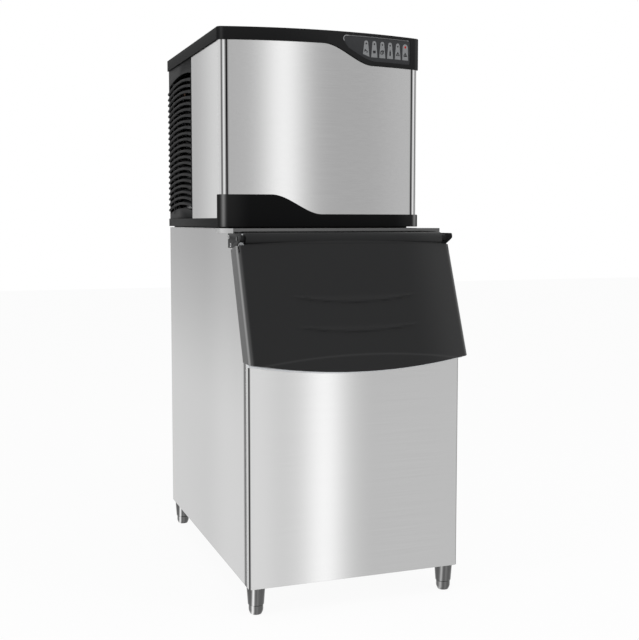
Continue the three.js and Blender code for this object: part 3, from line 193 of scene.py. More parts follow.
sky = bpy.data.worlds.new("studio")
sky.use_nodes = True
bpy.context.scene.world = sky
sky_nodes = Nodes(sky.node_tree)
shown = sky_nodes.node("ShaderNodeLightPath", {}, output="Is Camera Ray")
for ray in ("Is Glossy Ray", "Is Transmission Ray"):
    shown = shown.math("MAXIMUM", shown, sky_nodes.node("ShaderNodeLightPath", {}, output=ray))
backdrop = sky.node_tree.nodes["Background"]
backdrop.inputs["Color"].default_value = (1, 1, 1, 1)
sky.node_tree.links.new((0.62 + shown * 0.38).socket, backdrop.inputs["Strength"])

soft_lamps = {
    "left_softbox": ((-2.6, -1.3, 1.7), (0.5, 2.4), 16),
    "right_softbox": ((2.0, -2.6, 1.5), (0.6, 2.0), 16),
    "top_softbox": ((0.2, -0.9, 3.4), (2.4, 1.8), 22),
}
for lamp_name, (stand, size, watts) in soft_lamps.items():
    lamp = bpy.data.lights.new(lamp_name, "AREA")
    lamp.shape = "RECTANGLE"
    lamp.size, lamp.size_y = size
    lamp.energy = watts
    holder = bpy.data.objects.new(lamp_name, lamp)
    holder.location = stand
    holder.visible_glossy = False
    holder.rotation_euler = (Vector((0, 0, 0.9)) - Vector(stand)).to_track_quat("-Z", "Y").to_euler()
    bpy.context.scene.collection.objects.link(holder)


# Storage bin casing: brushed stainless sheet, folded tightly round the front corners and flat on the sides
# and back. The front sheet meets the side sheets a little way round its bends, in a fine shadow line.
def brushed_steel(name, grain, tone, bright=(0.95, 0.95, 0.95), roughness=0.2):
    """Stainless brushed along one axis. tone gives the share of the bright end at each place; the tone
    functions paint reflections, highlights and shade into it.
    """
    finish = Finish(name, (0.55, 0.555, 0.56), roughness, metallic=1.0)
    stretch = tuple(4 if axis == grain else 420 for axis in "xyz")
    hairlines = finish.noise(1.0, stretch, detail=2.0)
    cloud = finish.noise(2.2, detail=1.0)
    level = tone(finish) if callable(tone) else tone
    share = level + (hairlines - 0.5) * 0.05 + (cloud - 0.5) * 0.03
    finish.feed("Base Color", finish.mix(share, (0.0, 0.0, 0.0, 1), (*bright, 1)))
    finish.feed("Roughness", roughness - 0.03 + hairlines * 0.06)
    finish.bump(hairlines, 0.03, 0.0004)
    return finish


def only(kind, parts):
    """The parts of one kind out of an operator's result: vertices or edges."""
    return [part for part in parts if isinstance(part, kind)]


def swept(profile, moves, closed=False):
    """The skin that a chain of points leaves, carried along lines and round turns about upright axes."""
    skin = bmesh.new()
    chain = [skin.verts.new(point) for point in profile]
    links = list(zip(chain, chain[1:])) + ([(chain[-1], chain[0])] if closed else [])
    carried = chain + [skin.edges.new(pair) for pair in links]
    first = list(carried)
    for kind, where, angle, steps in moves:
        step = (where[0] / steps, where[1] / steps, 0) if kind == "line" else (0, 0, 0)
        centre = (where[0], where[1], 0) if kind == "turn" else (0, 0, 0)
        carried = bmesh.ops.spin(skin, geom=carried, cent=centre, axis=(0, 0, 1), dvec=step,
                                 angle=angle, steps=steps, use_duplicate=False)["geom_last"]
    if closed:
        for end in (first, carried):
            bmesh.ops.contextual_create(skin, geom=only(bmesh.types.BMEdge, end))
    return skin


def piece(name, shape, finish, body, nodes=(), wall=0.0, rounding=0.0, crease=32):
    """A finished piece: its mesh closed up and shaded, on its body, in place of the CAD nodes it is for."""
    bmesh.ops.remove_doubles(shape, verts=shape.verts, dist=1e-6)
    bmesh.ops.recalc_face_normals(shape, faces=shape.faces)
    mesh = bpy.data.meshes.new(name)
    shape.to_mesh(mesh)
    shape.free()
    mesh.shade_smooth()
    mesh.set_sharp_from_angle(angle=math.radians(crease))
    mesh.materials.append(finish.material)
    made = bpy.data.objects.new(name, mesh)
    bpy.context.scene.collection.objects.link(made)
    if wall:
        thicken = made.modifiers.new("wall", "SOLIDIFY")
        thicken.thickness = wall
        thicken.offset = -1
    if rounding:
        ease = made.modifiers.new("rounding", "BEVEL")
        ease.width = rounding
        ease.segments = 2
        ease.angle_limit = math.radians(40)
    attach(made, body)
    if nodes:
        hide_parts(*nodes)
    return made


def carved(made, *hollows):
    """Cuts shapes out of a piece for good, once its wall has its thickness."""
    tools = []
    for number, hollow in enumerate(hollows):
        mesh = bpy.data.meshes.new(f"{made.name}_hollow_{number}")
        hollow.to_mesh(mesh)
        hollow.free()
        tools.append(bpy.data.objects.new(mesh.name, mesh))
        bpy.context.scene.collection.objects.link(tools[-1])
        made.modifiers.new("hollow", "BOOLEAN").object = tools[-1]
    bpy.context.view_layer.update()
    whole = bpy.data.meshes.new_from_object(made.evaluated_get(bpy.context.evaluated_depsgraph_get()))
    made.modifiers.clear()
    made.data = whole
    for tool in tools:
        bpy.data.objects.remove(tool)


def coated(finish, *nodes):
    """CAD nodes that keep their own shape and take a finish."""
    for node in nodes:
        mesh = frame["nodes"][node].data
        mesh.materials.clear()
        mesh.materials.append(finish.material)


def rounded_front(half_width, front, bow, corner, back, side_steps=6, bow_steps=60):
    """Moves from the back left corner, round a flat or bowed front, to the back right corner."""
    inset = half_width - corner
    corner_steps = 10
    if bow:
        bow_radius = (half_width ** 2 + bow ** 2) / (2 * bow)
        centre = front + bow_radius
        corner_y = centre - math.sqrt((bow_radius - corner) ** 2 - inset ** 2)
        lean = math.atan2(corner_y - centre, -inset) + math.tau
        across = ("turn", (0, centre), 3 * math.pi - 2 * lean, bow_steps)
    else:
        corner_y = front + corner
        lean = 1.5 * math.pi
        across = ("line", (2 * inset, 0), 0, bow_steps)
    return [
        ("line", (0, corner_y - back), 0, side_steps),
        ("turn", (-inset, corner_y), lean - math.pi, corner_steps),
        across,
        ("turn", (inset, corner_y), lean - math.pi, corner_steps),
        ("line", (0, back - corner_y), 0, side_steps),
    ]


sheet = 0.0012
bend_radius = 0.009
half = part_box("bin_right_side")[1].x
bin_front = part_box("bin_front_panel")[0].y
bin_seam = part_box("bin_left_side")[0].y
bin_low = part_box("bin_left_side")[0].z
front_height, mouth_lean = 0.548, 21.642
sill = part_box("bin_front_panel")[0].z + front_height
slope = math.radians(mouth_lean)


def bin_front_tone(finish):
    """Painted reflections and shade: broad bright and dull bands down the sheet, fine dark and bright lines
    along its folded corners, and a shadow along the joint.
    """
    x = finish.along("X")
    # Painted reflection: paler towards the left edge and duller to the right of the middle.
    left = 0.66 + 0.06 * finish.ramp(x, -0.19, -0.26)
    level = left - 0.125 * finish.ramp(x, -0.08, 0.05)
    # Painted highlight: a broad bright band left of the middle.
    painted_gleam = 0.33 * finish.hill(x, -0.088, 0.055)
    edge = finish.of("ABSOLUTE", x)
    # Painted shadow along the joint with the side sheets.
    painted_dark_lines = 0.80 * finish.hill(finish.along("Y"), bin_seam, 0.0050)
    # Painted reflections on the folded corners: a paler strip and a dark line on the bend.
    turned = 0.16 * finish.ramp(edge, 0.2792, 0.2799) - painted_dark_lines
    return level + painted_gleam + turned - 0.78 * finish.hill(edge, 0.2780, 0.0019)


def bin_side_tone(finish):
    """Painted reflection: duller at the top than at the foot and towards the back, with a painted shadow of
    the joint along the front edge.
    """
    height = finish.along("Z")
    depth = finish.along("Y")
    # Painted reflection: duller towards the top.
    rise = 0.30 + 0.31 * finish.ramp(height, 0.97, 0.42)
    # Painted shadow along the joint with the front sheet.
    painted_dark_lines = 0.85 * finish.hill(depth, bin_seam + 0.0050, 0.0085)
    return rise - 0.085 * finish.ramp(depth, -0.26, 0.03) - painted_dark_lines


# Each upright sheet has a row of points just inside its ends, which keeps its shading flat.
hem = 0.0008
front_sheet = swept(
    [(-half, bin_seam, height) for height in (bin_low, bin_low + hem, sill - hem, sill)],
    rounded_front(half, bin_front, 0, bend_radius, bin_seam, side_steps=2, bow_steps=24))
for corner in front_sheet.verts:
    if corner.co.z > sill - hem * 2:
        corner.co.z += (corner.co.y - bin_front) / math.tan(slope)
steel_bin_front = brushed_steel("brushed_steel_bin_front", "x", bin_front_tone)
steel_bin_side = brushed_steel("brushed_steel_bin_side", "z", bin_side_tone)
piece("bin_front_sheet", front_sheet, steel_bin_front, "root", ["bin_front_panel"], wall=sheet)
coated(steel_bin_side, "bin_left_side", "bin_right_side", "bin_rear_panel", "bin_base_plate")


# Bin lining: a moulded white tub in poured foam, whose flange frames the slanted mouth.
# A white strip along the sill covers the edge of the foam between the flange and the front sheet.
def moulded(name, colour, roughness, specular, grain, depth, painted_light=None):
    """A moulded or painted finish with a fine grain. Its last argument, where given, paints highlights: how
    much paler it is at each place.
    """
    finish = Finish(name, colour, roughness, specular=specular)
    pores = finish.noise(grain, detail=4.0)
    cloud = finish.noise(3.0, detail=1.0)
    share = cloud * 0.5 + pores * 0.5
    darker, paler = [c * 0.8 for c in colour], [min(1, c * 1.2) for c in colour]
    tone = finish.mix(share, (*darker, 1), (*paler, 1))
    # Painted highlights are mixed towards white.
    finish.feed("Base Color", finish.mix(painted_light(finish), tone, (1, 1, 1, 1)) if painted_light else tone)
    finish.feed("Roughness", roughness - 0.04 + pores * 0.08)
    finish.bump(pores, 0.25, depth)
    return finish


tub_plastic = moulded("white_tub_plastic", (0.72, 0.74, 0.76), 0.35, 0.5, 260, 0.0002)
foam = moulded("poured_foam", (0.72, 0.6, 0.34), 0.9, 0.2, 420, 0.0012)
coated(tub_plastic, "bin_liner", "ice_chute", "bin_full_flap", "water_reservoir", "float_arm")
coated(foam, "bin_insulation")

sill_cover = bmesh.new()
for cover_x in (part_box("bin_insulation")[0].x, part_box("bin_insulation")[1].x):
    for rise in (0.0006, 0.0058):
        for depth in (0.0006, 0.0028):
            sill_cover.verts.new((cover_x, bin_front + rise * math.tan(slope) + depth, sill + rise))
bmesh.ops.convex_hull(sill_cover, input=sill_cover.verts)
piece("sill_cover", sill_cover, tub_plastic, "root")


# Deck: a folded steel top plate with a turned-down lip round the part that the head leaves bare.
# The head stands on a rubber gasket laid on it.
def eased_copy(node, width, cut=30):
    """A CAD node's solid with its sharp edges broken, as bending, casting or moulding leaves them."""
    shape = bmesh.new()
    shape.from_mesh(frame["nodes"][node].data)
    bmesh.ops.remove_doubles(shape, verts=shape.verts, dist=1e-6)
    bmesh.ops.dissolve_limit(shape, angle_limit=math.radians(1), verts=shape.verts, edges=shape.edges)
    sharp = [edge for edge in shape.edges if edge.calc_face_angle(0) > math.radians(cut)]
    bmesh.ops.bevel(shape, geom=sharp, offset=width, segments=2, profile=0.5, affect="EDGES",
                    material=-1, clamp_overlap=True)
    return shape


deck_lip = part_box("bin_deck")[0].y


def deck_tone(finish):
    """Painted reflection: bright along its sides, and dull on the lip over the door, which only has the dark
    door to mirror.
    """
    top = 0.38 + 0.02 * finish.ramp(finish.along("X"), 0.1, -0.28)
    # The lip's dullness is a painted reflection of the dark door.
    return top - 0.27 * finish.ramp(finish.along("Y"), deck_lip + 0.0016, deck_lip + 0.0003)


steel_deck = brushed_steel("brushed_steel_deck", "x", deck_tone)
rubber = moulded("black_rubber", (0.02, 0.02, 0.02), 0.8, 0.3, 500, 0.0004)
piece("deck_plate", eased_copy("bin_deck", 0.0007), steel_deck, "root", ["bin_deck"])
coated(rubber, "deck_gasket", "feed_hose")

# Door: one moulded black shell, crowned across, with two long shallow ridges and a steep pull lip along its
# drooping lower edge. A round bead along its top turns on the pins between two brackets, whose noses run in
# slots in its shoulders. A white tray closes it on the bin's side.
door_body = "door"
pivot = Vector((0, *frame["joints"][0]["pos_m"][1:]))
hang = Matrix.Translation(pivot) @ Matrix.Rotation(-slope, 4, "X")
door_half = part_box("door_outer_shell")[1].x
door_face, door_crown, door_corner, door_side = -0.00447, 0.009, 0.016, 0.051
door_shoulder, shoulder_tilt, door_length, door_droop = 0.018, math.radians(7.5), 0.3175, 0.027
bead_radius, bead_half = 0.015, 0.265
lip_rise, ridge_height = 0.036, 0.0042
nose_room, nose_slot = 0.0378, (0.2800, 0.2831)
crest = door_face - door_crown
door_back = door_face + door_side
# Only the side walls wrap the casing. The top and bottom walls stop clear of the slanted mouth.
door_stop, door_wrap = door_back - 0.018, door_half - 0.0042
ridges = [(0.475, 0.178, 0.020, 0.017), (0.72, 0.1727, 0.017, 0.0153)]
ridge_foot, ridge_end = 0.004, 0.05


def arc_drop(x, reach, sag):
    """How far a sagging arc over a half-width has dropped at x."""
    return sag * (1 - (x / reach) ** 2)


def smooth_step(value):
    value = min(1.0, max(0.0, value))
    return value * value * (3 - 2 * value)


def shoulder_at(y):
    """The height of the sloping top wall."""
    return -door_shoulder + (y - door_face) * math.tan(shoulder_tilt)


def door_end(x, y):
    """The lower edge: it droops to the middle, and its side walls end level."""
    return -door_length - arc_drop(x, door_half, door_droop) + max(0.0, y - door_face) * math.tan(slope)


rows = 96
door_shape = swept(
    [(-door_half, door_back, -step / rows) for step in range(rows + 1)],
    rounded_front(door_half, crest, door_crown, door_corner, door_back, side_steps=8, bow_steps=96))
top_rim = [edge for edge in door_shape.edges if all(v.co.z > -1e-6 for v in edge.verts)]
low_rim = [edge for edge in door_shape.edges if all(v.co.z < 1e-6 - 1 for v in edge.verts)
           and min(abs(v.co.x) for v in edge.verts) < door_half - 1e-5]
for point in door_shape.verts:
    x, y, share = point.co.x, point.co.y, -point.co.z
    top = shoulder_at(y)
    z = top + share * (door_end(x, y) - top)
    proud = 0.0
    for at, reach, sag, tall in ridges:
        if abs(x) < reach:
            lower = -door_length * at - arc_drop(x, reach, sag)
            upper = -door_length * at - arc_drop(x, reach, sag - tall)
            crown_side = smooth_step((upper - z) / max(1e-4, upper - lower))
            under_side = smooth_step((z - lower + ridge_foot) / ridge_foot)
            proud += ridge_height * (crown_side * under_side) * smooth_step((reach - abs(x)) / ridge_end)
    lip = crest + (-door_length - door_droop + lip_rise - z) * math.tan(slope)
    point.co = (x, max(y - proud, lip), z)
ends = sorted((v for v in door_shape.verts if v.co.y > door_back - 1e-6
               and any(edge in top_rim for edge in v.link_edges)), key=lambda v: v.co.x)
shoulder_back = [door_shape.verts.new((x, y, shoulder_at(y)))
                 for x, y in [(-door_wrap, door_back), (-door_wrap, door_stop),
                              (door_wrap, door_stop), (door_wrap, door_back)]]
chain = [ends[0], *shoulder_back, ends[1]]
back_rim = [door_shape.edges.new(pair) for pair in zip(chain, chain[1:])]
bmesh.ops.contextual_create(door_shape, geom=top_rim + back_rim)
floor_strip = bmesh.ops.extrude_edge_only(door_shape, edges=low_rim)["geom"]
for point in only(bmesh.types.BMVert, floor_strip):
    back = door_stop if abs(point.co.x) < door_wrap else door_back
    point.co = (point.co.x, back, door_end(point.co.x, back))
door_shape.transform(hang)
lip_plane = min(point.co.y for point in door_shape.verts)


def door_painted_highlights(finish):
    """Painted highlights: paler on its turned corners, towards its right end and along the lip's edge."""
    x = finish.along("X")
    edge = finish.of("ABSOLUTE", x)
    # Painted highlight along each turned corner.
    corner = 0.29 * finish.hill(edge, 0.2856, 0.0023) + 0.05 * finish.hill(edge, 0.2805, 0.0034)
    # Painted highlight along the crease over the lip.
    crease = 0.012 * finish.hill(finish.along("Y"), lip_plane + 0.0012, 0.0009)
    # A painted highlight also grows towards the right end.
    return corner + crease + 0.016 * finish.ramp(x, 0.14, 0.285)


door_plastic = moulded("door_moulding", (0.0095, 0.0097, 0.0101), 0.5, 0.22, 900, 0.0004, door_painted_highlights)
door_shell = piece("door_shell", door_shape, door_plastic, door_body, ["door_outer_shell"],
                   wall=0.003, crease=28)


def rod(radius, start, end, segments=48):
    """A round bar along x."""
    shape = bmesh.new()
    middle = Matrix.Translation(((start + end) / 2, 0, 0))
    bmesh.ops.create_cone(shape, cap_ends=True, segments=segments, radius1=radius, radius2=radius,
                          depth=end - start, matrix=middle @ Matrix.Rotation(math.pi / 2, 4, "Y"))
    return shape


slots = [rod(nose_room, *nose_slot), rod(nose_room, -nose_slot[1], -nose_slot[0])]
for hollow in slots:
    hollow.transform(hang)
carved(door_shell, *slots)
bead = rod(bead_radius, -bead_half, bead_half)
rims = [edge for edge in bead.edges if edge.calc_face_angle(0) > 1]
bmesh.ops.bevel(bead, geom=rims, offset=0.002, segments=3, profile=0.5, affect="EDGES", material=-1)
bead.transform(hang)
piece("door_bead", bead, door_plastic, door_body)
neck_front, neck_back, neck_drop, neck_corner = crest + 0.0015, 0.0075, 0.03, 0.003
neck = swept([(-bead_half, neck_back, -neck_drop), (-bead_half, neck_back, 0.0)],
             rounded_front(bead_half, neck_front, door_crown, neck_corner, neck_back,
                           side_steps=2, bow_steps=96))
neck.transform(hang)
piece("door_neck", neck, door_plastic, door_body, wall=0.003)
piece("door_lining", eased_copy("door_inner_liner", 0.0012), tub_plastic, door_body,
      ["door_inner_liner"])

# Hinge brackets: black moulded plates whose front edge runs down in a curve, screwed to the bin's sides with
# plated screws. Their bosses carry the steel hinge pins.
bracket_plastic = moulded("bracket_moulding", (0.017, 0.0173, 0.0178), 0.5, 0.1, 700, 0.0003)
zinc = brushed_steel("zinc_plate", "z", 0.62)
screw_radius = 0.0046
for side, sign in (("left", -1), ("right", 1)):
    plate_name = f"hinge_bracket_{side}"
    piece(f"bracket_{side}", eased_copy(plate_name, 0.0005), bracket_plastic, "root",
          [plate_name])
    low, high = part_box(plate_name)
    tall = high.z - low.z
    outer = max(abs(low.x), abs(high.x))
    for number, (y, z) in enumerate([(high.y - tall * 0.25, high.z - tall * 0.25),
                                     (high.y - tall * 0.75, low.z + tall * 0.2)]):
        head = rod(screw_radius, outer - 0.0014, outer, 24)
        crown = [edge for edge in head.edges
                 if edge.calc_face_angle(0) > 1 and min(v.co.x for v in edge.verts) > outer - 0.0005]
        bmesh.ops.bevel(head, geom=crown, offset=0.0009, segments=3, profile=0.5, affect="EDGES", material=-1)
        head.transform(Matrix.Translation((0, y, z)) @ Matrix.Scale(sign, 4, (1, 0, 0)))
        piece(f"bracket_screw_{side}_{number + 1}", head, zinc, "root")
blacked_steel = brushed_steel("blacked_steel", "z", 0.05, roughness=0.4)
coated(blacked_steel, "hinge_pin_left", "hinge_pin_right")

# Legs: dark plated steel sleeves screwed under the bin, each with a foot that winds in and out of it.
# Both are turned, and upright streaks of what stands round them are painted on them as reflections.
leg_profile = [(0.0188, 0.0243), (0.020, 0.0255), (0.0214, 0.045), (0.023, 0.0679), (0.0224, 0.0697)]
foot_profile = [(0.0, 0.0), (0.0124, 0.0), (0.0142, 0.001), (0.0162, 0.0053), (0.0175, 0.0088),
                (0.018, 0.012), (0.018, 0.0225), (0.0172, 0.0237), (0.007, 0.024)]


def turned(profile, x, y):
    """A turned piece stood at a place on the floor."""
    shape = bmesh.new()
    chain = [shape.verts.new((radius, 0, height)) for radius, height in profile]
    links = [shape.edges.new(pair) for pair in zip(chain, chain[1:])]
    bmesh.ops.spin(shape, geom=chain + links, cent=(0, 0, 0), axis=(0, 0, 1), angle=math.tau, steps=40,
                   use_merge=True)
    rims = [edge for edge in shape.edges if edge.is_boundary]
    if rims:
        bmesh.ops.holes_fill(shape, edges=rims)
    shape.transform(Matrix.Translation((x, y, 0)))
    return shape


leg_from_middle = (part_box("leg_front_right")[0].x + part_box("leg_front_right")[1].x) / 2


def leg_tone(finish):
    """Dark plating with painted reflections: bright upright streaks, brighter on the left legs, measured from
    each leg's own middle.
    """
    x = finish.along("X")
    across = x - finish.of("SIGN", x) * leg_from_middle
    left = finish.ramp(x, 0.1, -0.1)
    # Painted reflections: a bright upright band on each leg, and a fainter one near its middle.
    painted_streak = (0.34 + left * 0.46) * finish.hill(across - left * 0.0016, -0.0136, 0.0026)
    return 0.11 + painted_streak + 0.06 * finish.hill(across, -0.002, 0.0030)


chrome = brushed_steel("dark_plating", "z", leg_tone, roughness=0.14)
for corner in ("front_left", "front_right", "rear_left", "rear_right"):
    low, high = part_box(f"leg_{corner}")
    stand = (low + high) / 2
    sleeve = turned(leg_profile, stand.x, stand.y)
    piece(f"sleeve_{corner}", sleeve, chrome, "root", [f"leg_{corner}"])
    glide = turned(foot_profile, stand.x, stand.y)
    piece(f"glide_{corner}", glide, chrome, f"foot_{corner}", [f"foot_{corner}"])

# Head casing: a black moulded base pan whose rim shows along the sides and back, a bowed brushed front sheet
# folded round both corners, flat side sheets in front of the grilles and a flat back sheet.
head_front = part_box("head_front_panel")[0].y
head_low, head_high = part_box("head_front_panel")[0].z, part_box("head_front_panel")[1].z
head_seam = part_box("head_left_panel")[0].y
head_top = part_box("head_top_cap")[1].z
front_bow = 0.038


def head_front_tone(finish):
    """Painted reflections and shade: one bright band left of the middle, paler to the right, and fine lines
    along the folded corners.
    """
    x = finish.along("X")
    # Painted reflection: darker just right of the middle and paler towards the right end.
    level = 0.45 - 0.04 * finish.ramp(x, -0.10, 0.05) + 0.07 * finish.ramp(x, 0.10, 0.26)
    # Painted highlight: a broad bright band left of the middle.
    painted_gleam = 0.46 * finish.hill(x, -0.115, 0.062)
    edge = finish.of("ABSOLUTE", x)
    # Painted shadow along the joint, and a painted dark reflection beside the bend.
    painted_dark_lines = 0.36 * finish.hill(edge, 0.2726, 0.0018) + 0.50 * finish.hill(edge, 0.2605, 0.0032)
    # Painted reflections on the fold: a paler strip and a bright line.
    turned = 0.19 * finish.ramp(edge, 0.2748, 0.2762)
    return level + painted_gleam - painted_dark_lines + turned + 0.36 * finish.hill(edge, 0.2677, 0.0021)


def head_side_tone(finish):
    """Painted reflection: paler towards the front."""
    return 0.28 + 0.29 * finish.ramp(finish.along("Y"), 0.13, -0.17)


steel_head_front = brushed_steel("brushed_steel_head_front", "x", head_front_tone)
steel_head_side = brushed_steel("brushed_steel_head_side", "z", head_side_tone)
head_rows = (head_low, head_low + hem, head_high - hem, head_high)
head_sheet = swept(
    [(-half, head_seam, height) for height in head_rows],
    rounded_front(half, head_front, front_bow, bend_radius, head_seam, side_steps=2, bow_steps=96))
piece("head_front_sheet", head_sheet, steel_head_front, "root", ["head_front_panel"], wall=sheet)
coated(steel_head_side, "head_left_panel", "head_right_panel", "head_rear_panel")
black_plastic = moulded("black_moulding", (0.0125, 0.0127, 0.013), 0.5, 0.02, 700, 0.0003)
piece("base_pan", eased_copy("head_base_pan", 0.0008), black_plastic, "root",
      ["head_base_pan"])

# Apron: a black moulded skirt across the foot of the front, deep on the left and falling in an S to a low
# strip on the right. It laps the front sheet, and a highlight is painted along its turned corners.
apron_out, apron_deep, apron_shallow = 0.005, 0.084, 0.033
apron_from, apron_to = -0.148, -0.012
apron_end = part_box("head_front_apron")[1].y
apron_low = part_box("head_front_apron")[0].z
apron_round = 0.0022


def apron_height(x):
    return apron_deep + (apron_shallow - apron_deep) * smooth_step((x - apron_from) / (apron_to - apron_from))


apron_section = [(0.0003, 0), (apron_out - 0.0006, 0), (apron_out, 0.0006),
                 (apron_out, apron_deep - apron_round),
                 (apron_out - apron_round * 0.3, apron_deep - apron_round * 0.3),
                 (apron_out - apron_round, apron_deep), (0.0003, apron_deep)]
apron = swept([(-half - out, apron_end, apron_low + rise) for out, rise in apron_section],
              rounded_front(half, head_front, front_bow, bend_radius, apron_end, side_steps=2, bow_steps=120),
              closed=True)
for point in apron.verts:
    if point.co.z > apron_low + apron_deep / 2:
        point.co.z += apron_height(point.co.x) - apron_deep


def apron_painted_highlights(finish):
    # Painted highlight along each turned corner, and painted paling towards the ends.
    edge = finish.of("ABSOLUTE", finish.along("X"))
    return 0.18 * finish.hill(edge, 0.2714, 0.0050) + 0.010 * finish.ramp(edge, 0.20, 0.26)


apron_plastic = moulded("apron_moulding", (0.0045, 0.0046, 0.0048), 0.5, 0.04, 700, 0.0003, apron_painted_highlights)
piece("front_apron", apron, apron_plastic, "root", ["head_front_apron"], crease=40)

# Top cap: one black moulding whose skirt drops in an S to a deep brow on the right, cut out for the controls.
# The brow eases back to the plain band along the right side.
cap_out, cap_band, cap_brow, cap_round, cap_lip = 0.004, 0.033, 0.084, 0.003, 0.004
brow_from, brow_to = -0.007, 0.137
wrap_from = head_seam + 0.019
wrap_to = wrap_from + 0.095
cap_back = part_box("head_top_cap")[1].y - cap_out


def brow_drop(x):
    return cap_band + (cap_brow - cap_band) * smooth_step((x - brow_from) / (brow_to - brow_from))


def cap_painted_highlights(finish):
    # Painted highlight along each turned corner, and painted paling towards the right.
    x = finish.along("X")
    return 0.022 * finish.hill(finish.of("ABSOLUTE", x), 0.2740, 0.0040) + 0.006 * finish.ramp(x, -0.15, 0.05)


def skirt_drop(x, y):
    """The depth of the skirt: an S across the front, and easing back to the band along the right side."""
    back = smooth_step((y - wrap_from) / (wrap_to - wrap_from))
    return brow_drop(x) + (cap_band - brow_drop(x)) * back


cap_section = [(cap_out - 0.0005, -cap_band), (cap_out, -cap_band + 0.0006), (cap_out, -cap_round),
               (cap_out - cap_round * 0.12, -cap_round * 0.5), (cap_out - cap_round * 0.5, -cap_round * 0.12),
               (cap_out - cap_round, 0), (cap_out - cap_round - cap_lip, 0)]
cap_moves = rounded_front(half, head_front, front_bow, bend_radius, cap_back, side_steps=60, bow_steps=160)
cap = swept([(-half - out, cap_back, head_top + rise) for out, rise in cap_section], cap_moves)
for point in cap.verts:
    if point.co.z < head_top - cap_band / 2:
        point.co.z += cap_band - skirt_drop(point.co.x, point.co.y)
    elif point.co.z > head_top - 1e-5 and abs(point.co.x) < half - 0.001:
        point.co.y = min(point.co.y, cap_back - cap_lip)
rear = [edge for edge in cap.edges if edge.is_boundary and min(v.co.y for v in edge.verts) > cap_back - 0.001]
bmesh.ops.bridge_loops(cap, edges=rear)
opening = [edge for edge in cap.edges
           if edge.is_boundary and min(v.co.z for v in edge.verts) > head_top - 0.0001]
bmesh.ops.contextual_create(cap, geom=opening)
cap_plastic = moulded("cap_moulding", (0.0125, 0.0127, 0.013), 0.5, 0.02, 700, 0.0003, cap_painted_highlights)
cap_shell = piece("top_cap", cap, cap_plastic, "root", ["head_top_cap"],
                  wall=0.003, crease=40)

# Control fascia: a grey moulded plate let into the brow, with six raised pale tabs, each with a lamp over a
# sign. It follows the bow of the front. Nothing on it travels.
bow_radius = (half ** 2 + front_bow ** 2) / (2 * front_bow)
fascia_left, fascia_right = 0.046, 0.253
fascia_inset, fascia_border, fascia_shift, fascia_nose, fascia_corner = 0.008, 0.011, 0.008, 0.010, 0.004


def bowed(shape, out):
    """Lays a flat upright shape on the bowed front, out from the casing; its own y stays as depth."""
    for point in shape.verts:
        radius = bow_radius + out
        point.co.y += head_front + bow_radius - math.sqrt(radius ** 2 - point.co.x ** 2)


def arc_points(x, z, radius, start, end, steps):
    angles = [math.pi * (start + (end - start) * step / steps) for step in range(steps + 1)]
    return [(x + radius * math.cos(angle), z + radius * math.sin(angle)) for angle in angles]


def fascia_outline(grow):
    top = head_top - fascia_inset + grow
    low = head_top - cap_brow + fascia_border - grow
    nose = fascia_nose + grow
    nose_x = fascia_left - grow + nose
    corner = fascia_corner + grow
    right = fascia_right + grow
    first, last = nose_x + fascia_nose / 2, brow_to + fascia_shift
    flank = [first + (last - first) * step / 20 for step in range(21)]
    return (arc_points(nose_x, top - nose, nose, 0.5, 1.25, 8)
            + [(x, head_top - brow_drop(x - fascia_shift) + fascia_border - grow) for x in flank]
            + arc_points(right - corner, low + corner, corner, 1.5, 2, 5)
            + arc_points(right - corner, top - corner, corner, 0, 0.5, 5))


slice_width = 0.012


def plate(outline, front, back, ease=0.0):
    """A flat upright plate, cut across so that it can follow the bow, with its front edge eased."""
    shape = bmesh.new()
    shape.faces.new([shape.verts.new((x, front, z)) for x, z in outline])
    start, end = min(x for x, z in outline), max(x for x, z in outline)
    for step in range(1, int((end - start) / slice_width)):
        bmesh.ops.bisect_plane(shape, geom=shape.verts[:] + shape.edges[:] + shape.faces[:], dist=1e-7,
                               plane_co=(start + slice_width * step, 0, 0), plane_no=(1, 0, 0))
    grown = bmesh.ops.extrude_face_region(shape, geom=list(shape.faces))["geom"]
    bmesh.ops.translate(shape, verts=only(bmesh.types.BMVert, grown), vec=(0, back - front, 0))
    bmesh.ops.recalc_face_normals(shape, faces=shape.faces)
    if ease:
        rim = [edge for edge in shape.edges
               if edge.calc_face_angle(0) > 0.7 and all(abs(v.co.y - front) < 1e-6 for v in edge.verts)]
        bmesh.ops.bevel(shape, geom=rim, offset=ease, segments=2, profile=0.5, affect="EDGES", material=-1,
                        clamp_overlap=True)
    return shape


fascia_hole = plate(fascia_outline(0.0003), -0.02, 0.02)
bowed(fascia_hole, 0.004)
carved(cap_shell, fascia_hole)

fascia_grey = moulded("fascia_grey", (0.032, 0.033, 0.035), 0.46, 0.15, 900, 0.0002)
# The rim's pale grey is a painted highlight.
rim_highlight_grey = moulded("fascia_rim", (0.25, 0.253, 0.258), 0.4, 0.3, 900, 0.0001)
tab_grey = moulded("tab_grey", (0.21, 0.215, 0.22), 0.4, 0.4, 900, 0.0001)
sign_ink = moulded("sign_ink", (0.010, 0.010, 0.011), 0.6, 0.1, 900, 0.0001)
lamp_dark = moulded("lamp_lens", (0.02, 0.02, 0.02), 0.25, 0.3, 900, 0.0001)
lamp_red = moulded("red_lamp_lens", (0.42, 0.012, 0.008), 0.5, 0.15, 900, 0.0001)
fascia_out = 0.0028
fascia_plate = plate(fascia_outline(0), 0, 0.0025, ease=0.0006)
bowed(fascia_plate, fascia_out)
piece("fascia_plate", fascia_plate, fascia_grey, "root", ["control_fascia"], crease=40)

# The raised line along the plate's top and round its nose, pale grey as a painted highlight on its lit edge.
rim_width, rim_proud = 0.0022, 0.0008


